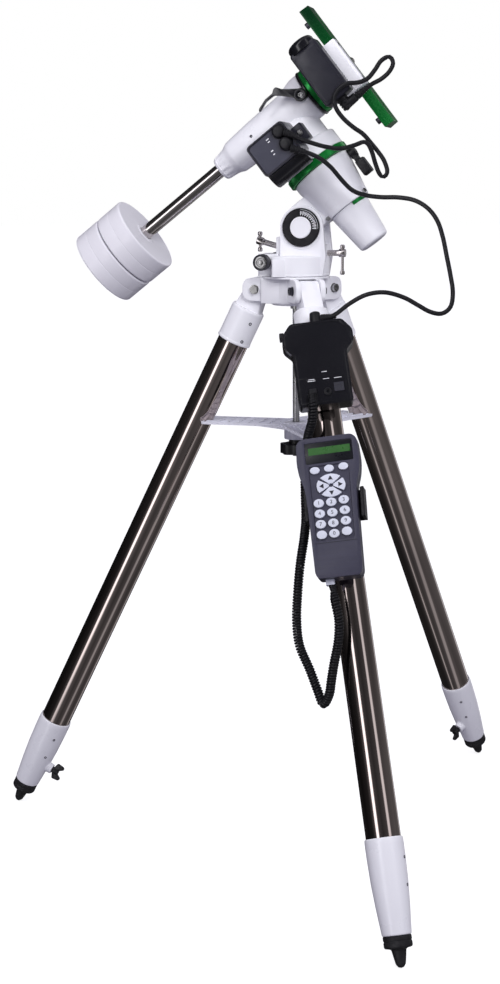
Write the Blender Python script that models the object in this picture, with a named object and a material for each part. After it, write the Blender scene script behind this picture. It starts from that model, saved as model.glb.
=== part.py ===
"""Computerised German equatorial mount on a folding steel tripod.

Metres, +Z up. North is -X: the polar axis rises towards -X, and the meridian plane is XZ.
Every moving piece hangs on an empty that lies on its joint's axis.
"""

import math

import bmesh
import bpy
from mathutils import Matrix, Vector

# ---- driving dimensions -------------------------------------------------------------------

GAP = 0.0003                        # between pieces that touch

# tripod
TRIPOD_AXIS_X = 0.1092              # the vertical axis, from the middle of the footprint
LEG_AZIMUTHS = {"front": -60.0, "north": 180.0, "back": 60.0}
LEG_SPLAY = math.radians(26.25)     # between a leg and the vertical
HINGE_RADIUS = 0.055                # leg hinge, from the tripod's axis
TUBE_R = 0.02225                    # 1.75 inch steel tube
TUBE_WALL = 0.00135
COLLAR_TOP, COLLAR_END = 0.0300, 0.0822      # distances down the leg from its hinge
TUBE_TOP, TUBE_END = 0.0385, 0.7830
SOCKET_TOP, SOCKET_END = 0.7365, 0.8544
EXTENSION_TOP = 0.3200
EXTENSION_R = 0.0165
CLAMP_AT = 0.8170                   # clamp screw of the extension
CLAMP_OUT = 0.0290                  # outer face of its boss
BOLT_R = 0.0040
CHEEK_IN, CHEEK_OUT = 0.0143, 0.0213         # hinge cheeks, either side of the tongue
FOOT = ((0.0180, 0.8547), (0.0180, 0.8690), (0.0098, 0.8705), (0.0064, 0.8880),
        (0.0035, 0.8925), (0.0, 0.8934))     # radius and distance down the leg
# the hinge stands so high that the tilted foot tips just reach the ground
HINGE_Z = max(s * math.cos(LEG_SPLAY) + r * math.sin(LEG_SPLAY) for r, s in FOOT)

# accessory tray
TRAY_Z = 0.6105
TRAY_THICK = 0.0040
TRAY_REACH = 0.1330
ROD_R = 0.0050
ROD_END = 0.5650

# head, in the meridian plane from the tripod's axis
HEAD_TOP = 0.8203                   # top face of the tripod head
LATITUDE = math.radians(52.2)
LATITUDE_X, LATITUDE_Z = 0.0135, 0.8875      # latitude pivot
CROSSING_X, CROSSING_Z = -0.0189, 1.0354     # polar axis meets declination axis
PEG_X = -0.0380                     # azimuth peg, and the knobs that push on it
KNOB_Z = 0.8405
CHEEK_Y = (0.0170, 0.0250)          # fork cheeks
NORTH_BOLT_SLOPE = math.radians(16.0)
NORTH_BOLT_TIP = (0.0066, 0.8518)
SOUTH_BOLT_TIP = (0.0207, 0.8520)

# declination side, along the declination axis
SHAFT_R = 0.0098                    # counterweight shaft
WEIGHT_R = 0.0572
WEIGHTS = {"inner": (-0.2965, -0.2550), "outer": (-0.3385, -0.2970)}
BAR_LOW, BAR_HIGH = 0.1068, 0.1210
BAR_ENDS = (-0.1020, 0.0910)
BAR_HALF = (0.0218, 0.0180)         # half width at its foot and at its top
SADDLE_ENDS = (-0.0420, 0.0310)
STOP_SCREWS = (-0.0870, 0.0740)     # under the ends of the dovetail bar

# electronics on the front leg
BOX_TURN = math.radians(-15.0)      # round the leg, towards the observer's left
HANDSET_TURN = math.radians(-24.0)
HANDSET_TILT = math.radians(-3.7)   # about its face's normal
HANDSET_MIDDLE = 0.3150             # distance down the leg of that tilt's centre

# cables
CABLE_R = 0.0030
CURLY_R = 0.0064
CABLE_STEP = 0.0085                 # distance between centre line points

# round pieces: number of flats
FINE, MEDIUM, SMALL = 24, 16, 10

ALONG_X = Matrix.Rotation(math.radians(90.0), 4, "Y")
ALONG_Y = Matrix.Rotation(math.radians(-90.0), 4, "X")

# ---- materials ----------------------------------------------------------------------------

FINISHES = {                        # colour, roughness, metallic
    "white_paint": ((0.84, 0.85, 0.88), 0.32, 0.0),
    "white_weight": ((0.80, 0.80, 0.84), 0.38, 0.0),
    "steel_tube": ((0.46, 0.42, 0.41), 0.22, 1.0),
    "chrome": ((0.72, 0.72, 0.73), 0.12, 1.0),
    "zinc_bolt": ((0.55, 0.55, 0.56), 0.30, 1.0),
    "green_anodised": ((0.02, 0.30, 0.07), 0.28, 0.7),
    "black_plastic": ((0.012, 0.012, 0.014), 0.42, 0.0),
    "grey_plastic": ((0.055, 0.055, 0.070), 0.45, 0.0),
    "handset_plastic": ((0.060, 0.062, 0.085), 0.40, 0.0),
    "key_rubber": ((0.70, 0.71, 0.76), 0.55, 0.0),
    "tray_plastic": ((0.78, 0.78, 0.84), 0.30, 0.0),
    "cable_rubber": ((0.015, 0.015, 0.016), 0.50, 0.0),
    "brass": ((0.62, 0.46, 0.20), 0.30, 1.0),
    "knob_grey": ((0.10, 0.10, 0.11), 0.40, 0.2),
}


def finish(name):
    """Return the named Principled material, made on first use."""
    found = bpy.data.materials.get(name)
    if found:
        return found
    colour, roughness, metallic = FINISHES[name]
    made = bpy.data.materials.new(name)
    made.use_nodes = True
    shader = made.node_tree.nodes["Principled BSDF"]
    shader.inputs["Base Color"].default_value = (*colour, 1.0)
    shader.inputs["Roughness"].default_value = roughness
    shader.inputs["Metallic"].default_value = metallic
    made.diffuse_color = (*colour, 1.0)
    return made


# ---- shapes -------------------------------------------------------------------------------

def turned(profile, steps=MEDIUM):
    """A piece turned about +Z from (radius, height) points.

    A profile that starts and ends on the axis is solid; any other is closed into a ring.
    """
    bm = bmesh.new()
    verts = [bm.verts.new((radius, 0.0, height)) for radius, height in profile]
    edges = [bm.edges.new(pair) for pair in zip(verts, verts[1:])]
    if profile[0][0] > 0.0 or profile[-1][0] > 0.0:
        edges.append(bm.edges.new((verts[-1], verts[0])))
    bmesh.ops.spin(bm, geom=verts + edges, cent=(0, 0, 0), axis=(0, 0, 1),
                   angle=2.0 * math.pi, steps=steps, use_merge=True)
    bmesh.ops.remove_doubles(bm, verts=bm.verts, dist=1e-6)
    bmesh.ops.recalc_face_normals(bm, faces=bm.faces)
    return bm


def prism(outline, low, high, axis="Z"):
    """An outline pushed from low to high along one axis; its points are in the other two."""
    place = {
        "X": lambda u, v, w: (w, u, v),
        "Y": lambda u, v, w: (u, w, v),
        "Z": lambda u, v, w: (u, v, w),
    }[axis]
    bm = bmesh.new()
    face = bm.faces.new([bm.verts.new(place(u, v, low)) for u, v in outline])
    grown = bmesh.ops.extrude_face_region(bm, geom=[face])
    moved = [item for item in grown["geom"] if isinstance(item, bmesh.types.BMVert)]
    bmesh.ops.translate(bm, verts=moved, vec=place(0.0, 0.0, high - low))
    bmesh.ops.recalc_face_normals(bm, faces=bm.faces)
    return bm


def block(x, y, z):
    """A box from three (low, high) pairs."""
    return prism([(x[0], y[0]), (x[1], y[0]), (x[1], y[1]), (x[0], y[1])], z[0], z[1])


def rod(radius, low, high, steps=SMALL):
    """A plain round bar about +Z."""
    return turned([(0.0, low), (radius, low), (radius, high), (0.0, high)], steps)


def ring(inner, outer, low, high, steps=MEDIUM):
    """A plain ring about +Z."""
    return turned([(inner, low), (outer, low), (outer, high), (inner, high)], steps)


def arc(centre, radius, start, end, count):
    """Points of a circular arc, angles in degrees."""
    points = []
    for i in range(count + 1):
        angle = math.radians(start + (end - start) * i / count)
        points.append((centre[0] + radius * math.cos(angle),
                       centre[1] + radius * math.sin(angle)))
    return points


# ---- placing ------------------------------------------------------------------------------

def frame(name, parent=None, at=(0.0, 0.0, 0.0), turn=None):
    """An empty that pieces hang on."""
    made = bpy.data.objects.new(name, None)
    bpy.context.scene.collection.objects.link(made)
    made.parent = parent
    made.matrix_local = Matrix.Translation(at) @ (turn or Matrix())
    return made


def piece(name, bm, material, parent, at=(0.0, 0.0, 0.0), turn=None):
    """A finished solid in its own node."""
    mesh = bpy.data.meshes.new(name)
    bm.to_mesh(mesh)
    bm.free()
    mesh.shade_smooth()
    mesh.set_sharp_from_angle(angle=math.radians(35.0))
    mesh.materials.append(finish(material))
    made = bpy.data.objects.new(name, mesh)
    bpy.context.scene.collection.objects.link(made)
    made.parent = parent
    made.matrix_local = Matrix.Translation(at) @ (turn or Matrix())
    return made


def tool(target, operation, bm, parent, at=(0.0, 0.0, 0.0), turn=None):
    """Join a shape to a piece, or cut it away, with a Boolean."""
    count = len(target.modifiers)
    shape = piece(f"{target.name}.{operation.lower()}{count}", bm,
                  target.data.materials[0].name, parent, at, turn)
    shape.hide_render = True
    shape.display_type = "WIRE"
    step = target.modifiers.new(f"{operation.lower()}{count}", "BOOLEAN")
    step.operation = operation
    step.solver = "EXACT"
    step.object = shape
    return shape


def join(target, bm, parent, at=(0.0, 0.0, 0.0), turn=None):
    return tool(target, "UNION", bm, parent, at, turn)


def cut(target, bm, parent, at=(0.0, 0.0, 0.0), turn=None):
    return tool(target, "DIFFERENCE", bm, parent, at, turn)


# ---- tripod -------------------------------------------------------------------------------

def hinge_turn(azimuth):
    """Frame of a leg's hinge: X away from the ground, Y along the pin, Z up the leg."""
    return (Matrix.Rotation(math.radians(azimuth), 4, "Z")
            @ Matrix.Rotation(-LEG_SPLAY, 4, "Y"))


def make_tripod_head(tripod):
    hub = [(0.0060, 0.7800), (0.0330, 0.7800), (0.0360, 0.7830), (0.0360, 0.8168),
           (0.0475, 0.8168), (0.0475, HEAD_TOP), (0.0060, HEAD_TOP)]
    head = piece("tripod_head", turned(hub, FINE), "white_paint", tripod)
    side = [(0.0260, 0.7855), (0.0640, 0.7855), (0.0725, 0.7925), (0.0725, 0.8075),
            (0.0700, 0.8145), (0.0640, 0.8180), (0.0260, 0.8180)]
    for azimuth in LEG_AZIMUTHS.values():
        turn = Matrix.Rotation(math.radians(azimuth), 4, "Z")
        for low, high in ((CHEEK_IN, CHEEK_OUT), (-CHEEK_OUT, -CHEEK_IN)):
            join(head, prism(side, low, high, "Y"), tripod, turn=turn)
    peg = [(0.0, 0.8170), (0.0065, 0.8170), (0.0065, HEAD_TOP), (0.0040, HEAD_TOP),
           (0.0040, 0.8450), (0.0, 0.8450)]
    join(head, turned(peg, 16), tripod, at=(PEG_X, 0.0, 0.0))
    for azimuth in LEG_AZIMUTHS.values():
        turn = Matrix.Rotation(math.radians(azimuth), 4, "Z")
        hole = rod(BOLT_R + GAP, -0.0300, 0.0300)
        at = turn @ Vector((HINGE_RADIUS, 0.0, HINGE_Z))
        cut(head, hole, tripod, at=at, turn=turn @ ALONG_Y)


def make_centre_rod(tripod):
    profile = [(0.0, ROD_END), (ROD_R, ROD_END), (ROD_R, 0.7680), (0.0130, 0.7700),
               (0.0130, 0.7795), (ROD_R, 0.7796), (ROD_R, 0.8330), (0.0, 0.8330)]
    piece("centre_rod", turned(profile, 16), "zinc_bolt", tripod)


def make_tray(tripod):
    """Three-armed accessory tray that the rod's knob pulls up against the legs."""
    outline = []
    for azimuth in sorted(LEG_AZIMUTHS.values()):
        angle = math.radians(azimuth)
        out = Vector((math.cos(angle), math.sin(angle)))
        side = Vector((-out.y, out.x))
        for reach, half in ((0.0480, -0.0300), (TRAY_REACH, -0.0290),
                            (TRAY_REACH, 0.0290), (0.0480, 0.0300)):
            point = out * reach + side * half
            outline.append((point.x, point.y))
    slide = frame("tray_slide", tripod, at=(0.0, 0.0, TRAY_Z))
    tray = piece("spreader_tray", prism(outline, 0.0, TRAY_THICK), "tray_plastic", slide)
    join(tray, rod(0.0170, -0.0205, 0.0020, MEDIUM), slide)
    cut(tray, rod(ROD_R + 0.0005, -0.0300, 0.0200), slide)
    for azimuth in LEG_AZIMUTHS.values():
        turn = hinge_turn(azimuth)
        at = Matrix.Rotation(math.radians(azimuth), 4, "Z") @ Vector((HINGE_RADIUS, 0, HINGE_Z))
        cut(tray, rod(TUBE_R + 0.0010, -0.4000, -0.0500, MEDIUM), tripod, at=at, turn=turn)
    knob_axis = frame("spreader_knob_axis", slide)
    lobes = []
    for i in range(30):
        angle = 2.0 * math.pi * i / 30
        reach = 0.0215 + 0.0017 * math.cos(6.0 * angle)
        lobes.append((reach * math.cos(angle), reach * math.sin(angle)))
    knob = piece("spreader_knob", prism(lobes, -0.0415, -0.0275), "black_plastic", knob_axis)
    join(knob, rod(0.0105, -0.0300, -0.0208, MEDIUM), knob_axis)
    cut(knob, rod(ROD_R + 0.0004, -0.0600, 0.0), knob_axis)


def make_leg(name, azimuth, tripod):
    """One leg: collar, tube, socket, sliding extension with foot, clamp screw, hinge bolt."""
    start = Matrix.Rotation(math.radians(azimuth), 4, "Z") @ Vector((HINGE_RADIUS, 0, HINGE_Z))
    leg = frame(f"leg_{name}_hinge", tripod, at=start, turn=hinge_turn(azimuth))

    cup = [(0.0, -COLLAR_TOP), (0.0225, -COLLAR_TOP), (0.0240, -COLLAR_TOP - 0.0015),
           (0.0240, -COLLAR_END), (TUBE_R + GAP, -COLLAR_END), (TUBE_R + GAP, -0.0380),
           (0.0, -0.0380)]
    collar = piece(f"leg_collar_{name}", turned(cup, MEDIUM), "white_paint", leg)
    tongue = arc((0.0, 0.0), 0.0140, 0.0, 180.0, 10) + [(-0.0190, -0.0340), (0.0190, -0.0340)]
    join(collar, prism(tongue, -0.0140, 0.0140, "Y"), leg)
    cut(collar, rod(BOLT_R + GAP, -0.0300, 0.0300), leg, turn=ALONG_Y)

    piece(f"leg_tube_{name}", ring(TUBE_R - TUBE_WALL, TUBE_R, -TUBE_END, -TUBE_TOP),
          "steel_tube", leg)

    body = [(0.0, -SOCKET_END), (0.0182, -SOCKET_END), (0.0215, -0.8200), (0.0236, -0.7900),
            (0.0245, -0.7600), (0.0245, -SOCKET_TOP), (0.0, -SOCKET_TOP)]
    socket = piece(f"leg_socket_{name}", turned(body, MEDIUM), "white_paint", leg)
    screw_turn = Matrix.Rotation(math.radians(-90.0), 4, "Y")
    screw_at = (0.0, 0.0, -CLAMP_AT)
    join(socket, rod(0.0076, 0.0100, CLAMP_OUT, 16), leg, at=screw_at, turn=screw_turn)
    bore = [(0.0, -0.8600), (EXTENSION_R + GAP, -0.8600), (EXTENSION_R + GAP, -0.7840),
            (TUBE_R + GAP, -0.7840), (TUBE_R + GAP, -0.7300), (0.0, -0.7300)]
    cut(socket, turned(bore, MEDIUM), leg)
    cut(socket, rod(0.0034, 0.0, 0.0400), leg, at=screw_at, turn=screw_turn)

    slide = frame(f"extension_{name}_slide", leg)
    inner = [(0.0, -0.8500), (0.0150, -0.8500), (0.0150, -EXTENSION_TOP),
             (EXTENSION_R, -EXTENSION_TOP), (EXTENSION_R, -0.8547)]
    foot = [(radius, -distance) for radius, distance in FOOT]
    piece(f"leg_extension_{name}", turned(inner + foot), "black_plastic", slide)

    clamp = frame(f"clamp_{name}_axis", leg, at=screw_at, turn=screw_turn)
    wing = [(-0.0130, 0.0340), (-0.0120, 0.0440), (-0.0075, 0.0465), (-0.0030, 0.0400),
            (0.0030, 0.0400), (0.0075, 0.0465), (0.0120, 0.0440), (0.0130, 0.0340),
            (0.0040, 0.0300), (-0.0040, 0.0300)]
    screw = piece(f"leg_clamp_screw_{name}", prism(wing, -0.0024, 0.0024, "Y"),
                  "black_plastic", clamp)
    join(screw, rod(0.0031, EXTENSION_R + GAP, 0.0360), clamp)

    bolt = [(0.0, -0.0268), (0.0066, -0.0268), (0.0066, -CHEEK_OUT - GAP),
            (BOLT_R, -CHEEK_OUT - GAP), (BOLT_R, CHEEK_OUT + GAP),
            (0.0066, CHEEK_OUT + GAP), (0.0066, 0.0262), (0.0, 0.0262)]
    piece(f"leg_hinge_bolt_{name}", turned(bolt, SMALL), "zinc_bolt", leg, turn=ALONG_Y)
    return leg


# ---- head, fixed side ---------------------------------------------------------------------

def make_azimuth_base(azimuth):
    pivot = (LATITUDE_X, LATITUDE_Z)
    low = HEAD_TOP + 0.0004
    disc = [(0.0, 0.8340), (ROD_R + 0.0004, 0.8340), (ROD_R + 0.0004, low), (0.0465, low),
            (0.0475, low + 0.001), (0.0475, 0.8480), (0.0465, 0.8490), (0.0, 0.8490)]
    base = piece("azimuth_base", turned(disc, FINE), "white_paint", azimuth)
    join(base, block((-0.0500, -0.0200), (-0.0215, 0.0215), (low, 0.8510)), azimuth)
    cheek = arc(pivot, 0.0300, 0.0, 180.0, 16)
    cheek += [(-0.0165, 0.8600), (-0.0165, 0.8212), (0.0430, 0.8212), (0.0475, 0.8490)]
    for start, end in (CHEEK_Y, (-CHEEK_Y[1], -CHEEK_Y[0])):
        join(base, prism(cheek, start, end, "Y"), azimuth)
    join(base, block((0.0365, 0.0450), (-0.0172, 0.0172), (0.8440, 0.8640)), azimuth)
    join(base, block((-0.0300, -0.0085), (-0.0172, 0.0172), (0.8440, 0.8740)), azimuth)
    cut(base, block((-0.0065, 0.0345), (-0.0168, 0.0168), (0.8385, 0.8700)), azimuth)
    cut(base, block((-0.0600, -0.0305), (-0.0095, 0.0095), (0.8100, 0.8600)), azimuth)
    for edges in ((-0.0600, -0.0217), (0.0217, 0.0600)):
        cut(base, block((-0.0600, -0.0255), edges, (0.8100, 0.8600)), azimuth)
    cut(base, rod(0.0034, -0.0300, 0.0300), azimuth, at=(PEG_X, 0.0, KNOB_Z), turn=ALONG_Y)
    cut(base, rod(0.0083, -0.0400, 0.0400, 16), azimuth, at=(pivot[0], 0.0, pivot[1]),
        turn=ALONG_Y)
    cut(base, rod(0.0046, -0.0100, 0.0400), azimuth,
        at=(SOUTH_BOLT_TIP[0], 0.0, SOUTH_BOLT_TIP[1]), turn=ALONG_X)
    cut(base, rod(0.0046, -0.0600, 0.0030), azimuth,
        at=(NORTH_BOLT_TIP[0], 0.0, NORTH_BOLT_TIP[1]),
        turn=Matrix.Rotation(NORTH_BOLT_SLOPE, 4, "Y") @ ALONG_X)


def make_latitude_axle(azimuth):
    """Pivot pin whose near head carries the round dial."""
    profile = [(0.0, -0.0310), (0.0140, -0.0310), (0.0146, -0.0304), (0.0146, -0.0290),
               (0.0258, -0.0290), (0.0262, -0.0286), (0.0262, -0.0253), (0.0080, -0.0253),
               (0.0080, 0.0253), (0.0120, 0.0253), (0.0120, 0.0320), (0.0, 0.0320)]
    piece("latitude_axle", turned(profile, FINE), "black_plastic", azimuth,
          at=(LATITUDE_X, 0.0, LATITUDE_Z), turn=ALONG_Y)


def make_azimuth_knobs(azimuth):
    for name, side in (("near", -1.0), ("far", 1.0)):
        slide = frame(f"azimuth_knob_{name}_slide", azimuth, at=(PEG_X, 0.0, KNOB_Z),
                      turn=Matrix.Rotation(math.radians(-90.0 * side), 4, "X"))
        profile = [(0.0, 0.0046), (0.0030, 0.0046), (0.0030, 0.0274), (0.0092, 0.0276),
                   (0.0092, 0.0350), (0.0112, 0.0360), (0.0112, 0.0505), (0.0100, 0.0520),
                   (0.0, 0.0520)]
        piece(f"azimuth_knob_{name}", turned(profile, MEDIUM), "knob_grey", slide)


def make_latitude_bolt(name, azimuth, tip, turn, length, bar_up, bar_down):
    """Push bolt with a sliding T bar; +Z of its frame points out of the mount."""
    slide = frame(f"latitude_bolt_{name}_slide", azimuth, at=(tip[0], 0.0, tip[1]), turn=turn)
    shank = [(0.0, 0.0), (0.0015, 0.0), (0.0042, 0.0040), (0.0042, length - 0.0090),
             (0.0056, length - 0.0085), (0.0056, length), (0.0, length)]
    bolt = piece(f"latitude_bolt_{name}", turned(shank, 16), "chrome", slide)
    bar = [(0.0, -bar_down), (0.0026, -bar_down), (0.0034, -bar_down + 0.0025),
           (0.0026, -bar_down + 0.0055), (0.0020, -bar_down + 0.0060),
           (0.0020, bar_up - 0.0060), (0.0026, bar_up - 0.0055), (0.0034, bar_up - 0.0025),
           (0.0026, bar_up), (0.0, bar_up)]
    at = Vector((tip[0], 0.0, tip[1])) + turn.to_3x3() @ Vector((0.0, 0.0, length - 0.0045))
    join(bolt, turned(bar, 12), azimuth, at=at)


def make_polar_housing(latitude, polar):
    """Tilting casting: polar tube, latitude lug between the fork cheeks, clutch post."""
    tube = [(0.0145, -0.1600), (0.0255, -0.1600), (0.0255, -0.1530), (0.0330, -0.1530),
            (0.0345, -0.1440), (0.0428, -0.1000), (0.0432, -0.0980), (0.0432, -0.0885),
            (0.0295, -0.0885), (0.0295, -0.0735), (0.0200, -0.0735), (0.0200, -0.0590),
            (0.0145, -0.0590)]
    housing = piece("polar_housing", turned(tube, FINE), "white_paint", polar)
    half = CHEEK_Y[0] - 0.0004
    join(housing, block((-0.0620, -0.0200), (-half, half), (-0.1520, -0.1050)), polar)
    join(housing, rod(0.0240, -half, half, MEDIUM), latitude, turn=ALONG_Y)
    join(housing, block((-0.0060, 0.0060), (-half, half), (-0.0450, 0.0)), latitude)
    join(housing, rod(0.0040, 0.0380, 0.0500), polar, at=(0.0, 0.0, -0.0980), turn=ALONG_X)
    cut(housing, rod(0.0083, -0.0300, 0.0300, 16), latitude, turn=ALONG_Y)


def make_polar_cap(polar):
    slide = frame("polar_cap_slide", polar)
    cup = [(0.0, -0.2137), (0.0185, -0.2137), (0.0218, -0.2110), (0.0285, -0.1533),
           (0.0258, -0.1533), (0.0258, -0.1610), (0.0198, -0.2080), (0.0, -0.2080)]
    piece("polar_cap", turned(cup, FINE), "white_paint", slide)


def make_clutch_lever(name, parent, post, outline, thick, hub):
    """Lever on a post: hub and arm turn about the post, along +Z of the given frame."""
    axis = frame(f"{name}_axis", parent, at=post[0], turn=post[1])
    lever = piece(name, prism(outline, thick[0], thick[1]), "black_plastic", axis)
    join(lever, rod(hub[0], hub[1], hub[2], 16), axis)
    cut(lever, rod(0.0043, 0.0, hub[2] - 0.0030), axis)


# ---- head, right ascension side -----------------------------------------------------------

def make_dec_housing(polar):
    """Casting turned by the polar axis: declination tube, stub and worm ring."""
    tube = [(0.0101, -0.1125), (0.0160, -0.1125), (0.0176, -0.1090), (0.0198, -0.0930),
            (0.0236, -0.0850), (0.0262, -0.0400), (0.0270, 0.0150), (0.0330, 0.0400),
            (0.0330, 0.0503), (0.0195, 0.0503), (0.0195, 0.0640), (0.0160, 0.0640),
            (0.0160, 0.0770), (0.0124, 0.0770), (0.0124, -0.0960), (0.0101, -0.0990)]
    housing = piece("dec_housing", turned(tube, FINE), "white_paint", polar, turn=ALONG_X)
    stub = [(0.0405, -0.0768), (0.0460, -0.0768), (0.0460, -0.0560), (0.0445, -0.0538),
            (0.0400, -0.0530), (0.0400, -0.0300), (0.0360, -0.0220), (0.0290, -0.0160),
            (0.0150, -0.0160), (0.0150, -0.0570), (0.0405, -0.0570)]
    join(housing, turned(stub, FINE), polar)
    join(housing, rod(0.0040, 0.0290, 0.0420), polar, at=(0.0452, 0.0, 0.0005),
         turn=Matrix.Rotation(math.radians(90.0), 4, "X"))


def make_polar_drive(polar, spin):
    """Worm wheel on the fixed neck, shaft and worm on the turning side."""
    piece("ra_worm_wheel", ring(0.0203, 0.0270, -0.0730, -0.0605, FINE), "brass", polar)
    shaft = [(0.0105, -0.1500), (0.0140, -0.1500), (0.0140, -0.0275), (0.0105, -0.0275)]
    piece("ra_shaft", turned(shaft, MEDIUM), "zinc_bolt", spin)
    worm_axis = frame("ra_worm_axis", spin, at=(0.0, -0.0319, -0.0665), turn=ALONG_X)
    piece("ra_worm", turned(worm_profile(0.0045, 0.0140), 10), "zinc_bolt", worm_axis)


def worm_profile(radius, half):
    """A worm drawn as a bar with ring grooves between two plain ends."""
    points = [(0.0, -half), (0.6 * radius, -half), (0.6 * radius, -0.7 * half)]
    turns = 3
    for i in range(turns):
        start = -0.7 * half + 1.4 * half * i / turns
        pitch = 1.4 * half / turns
        points += [(radius, start + 0.3 * pitch), (radius, start + 0.7 * pitch),
                   (0.75 * radius, start + pitch)]
    return points + [(0.6 * radius, 0.7 * half + 0.0002), (0.6 * radius, half), (0.0, half)]


def make_ra_motor(spin):
    """Motor box on the near side of the turning head, open at its back."""
    box = piece("ra_motor_box", block((-0.0490, 0.0125), (-0.0940, -0.0465),
                                      (-0.0660, -0.0170)), "grey_plastic", spin)
    join(box, rod(0.0190, -0.0478, 0.0113, MEDIUM), spin, at=(0.0, -0.0690, -0.0640),
         turn=ALONG_X)
    join(box, block((0.0100, 0.0265), (-0.0700, -0.0480), (-0.0560, -0.0310)), spin)
    for x, z in ((0.0012, -0.0278), (-0.0004, -0.0462)):
        join(box, rod(0.0080, 0.0900, 0.1022, 16), spin, at=(x, 0.0, z),
             turn=Matrix.Rotation(math.radians(90.0), 4, "X"))
    cut(box, block((-0.0465, 0.0100), (-0.0915, -0.0400), (-0.0635, -0.0195)), spin)
    cut(box, rod(0.0168, -0.0453, 0.0088, MEDIUM), spin, at=(0.0, -0.0690, -0.0640),
        turn=ALONG_X)
    motor = [(0.0, -0.0420), (0.0140, -0.0420), (0.0150, -0.0400), (0.0150, -0.0060),
             (0.0050, -0.0055), (0.0050, 0.0070), (0.0, 0.0070)]
    piece("ra_motor", turned(motor, 20), "zinc_bolt", spin, at=(0.0, -0.0690, -0.0550),
          turn=ALONG_X)


def make_counterweights(spin):
    shaft = [(0.0, -0.3480), (0.0120, -0.3480), (0.0130, -0.3470), (0.0130, -0.3400),
             (SHAFT_R, -0.3400), (SHAFT_R, -0.1000), (0.0, -0.1000)]
    piece("counterweight_shaft", turned(shaft, MEDIUM), "chrome", spin, turn=ALONG_X)
    for name, (low, high) in WEIGHTS.items():
        slide = frame(f"counterweight_{name}_slide", spin)
        middle = 0.5 * (low + high)
        edge = 0.0022
        profile = [(SHAFT_R + 0.0005, low), (WEIGHT_R - edge, low), (WEIGHT_R, low + edge),
                   (WEIGHT_R, high - edge), (WEIGHT_R - edge, high), (SHAFT_R + 0.0005, high)]
        weight = piece(f"counterweight_{name}", turned(profile, FINE), "white_weight", slide,
                       turn=ALONG_X)
        cut(weight, rod(0.0036, 0.0, 0.0700), slide, at=(middle, 0.0, 0.0), turn=ALONG_Y)
        axis = frame(f"counterweight_screw_{name}_axis", slide, at=(middle, 0.0, 0.0),
                     turn=ALONG_Y)
        screw = [(0.0, SHAFT_R + GAP), (0.0033, SHAFT_R + GAP), (0.0033, WEIGHT_R + 0.0010),
                 (0.0070, WEIGHT_R + 0.0012), (0.0080, WEIGHT_R + 0.0030),
                 (0.0080, WEIGHT_R + 0.0140), (0.0066, WEIGHT_R + 0.0155),
                 (0.0, WEIGHT_R + 0.0155)]
        piece(f"counterweight_screw_{name}", turned(screw, 16), "black_plastic", axis)


# ---- head, declination side ---------------------------------------------------------------

def make_saddle(turn_axis):
    """Saddle plate on the declination axis; its cup covers the worm wheel."""
    cup = [(0.0, 0.0880), (0.0312, 0.0880), (0.0312, 0.0632), (0.0337, 0.0632),
           (0.0337, 0.0920), (0.0, 0.0920)]
    saddle = piece("saddle", turned(cup, FINE), "white_paint", turn_axis, turn=ALONG_X)
    length = SADDLE_ENDS
    foot, top = BAR_HALF
    clear = 0.0005
    lean = (foot - top) / (BAR_HIGH - BAR_LOW)
    for side in (-1.0, 1.0):
        jaw = [(0.0905, 0.0), (0.0905, side * 0.0400), (0.1195, side * 0.0400),
               (0.1218, side * 0.0380), (0.1218, side * (top + clear)),
               (BAR_LOW - GAP, side * (foot + clear + lean * 0.0003)),
               (BAR_LOW - GAP, 0.0)]
        join(saddle, prism(jaw, length[0], length[1]), turn_axis)
    cut(saddle, rod(0.0034, 0.0150, 0.0450), turn_axis, at=(0.1140, 0.0, 0.0085),
        turn=ALONG_Y)


def make_saddle_screw(turn_axis):
    axis = frame("saddle_screw_axis", turn_axis, at=(0.1140, 0.0, 0.0085), turn=ALONG_Y)
    profile = [(0.0, 0.0209), (0.0031, 0.0209), (0.0031, 0.0412), (0.0080, 0.0414),
               (0.0092, 0.0430), (0.0092, 0.0540), (0.0080, 0.0560), (0.0, 0.0560)]
    piece("saddle_screw", turned(profile, 20), "chrome", axis)


def make_dovetail(turn_axis):
    slide = frame("dovetail_slide", turn_axis)
    foot, top = BAR_HALF
    section = [(BAR_LOW, -foot), (BAR_HIGH, -top), (BAR_HIGH, top), (BAR_LOW, foot)]
    bar = piece("dovetail_bar", prism(section, BAR_ENDS[0], BAR_ENDS[1]), "green_anodised",
                slide)
    for place in STOP_SCREWS:
        join(bar, rod(0.0040, 0.1000, 0.1100), slide, at=(0.0, 0.0, place), turn=ALONG_X)


def make_dec_drive(spin, turn_axis):
    piece("dec_worm_wheel", ring(0.0163, 0.0190, 0.0645, 0.0750, FINE), "brass", spin,
          turn=ALONG_X)
    shaft = [(0.0, -0.0940), (0.0120, -0.0940), (0.0120, 0.0872), (0.0, 0.0872)]
    piece("dec_shaft", turned(shaft, MEDIUM), "zinc_bolt", turn_axis, turn=ALONG_X)
    worm_axis = frame("dec_worm_axis", turn_axis, at=(0.0697, -0.0236, 0.0))
    piece("dec_worm", turned(worm_profile(0.0042, 0.0080), 10), "zinc_bolt", worm_axis)


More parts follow.
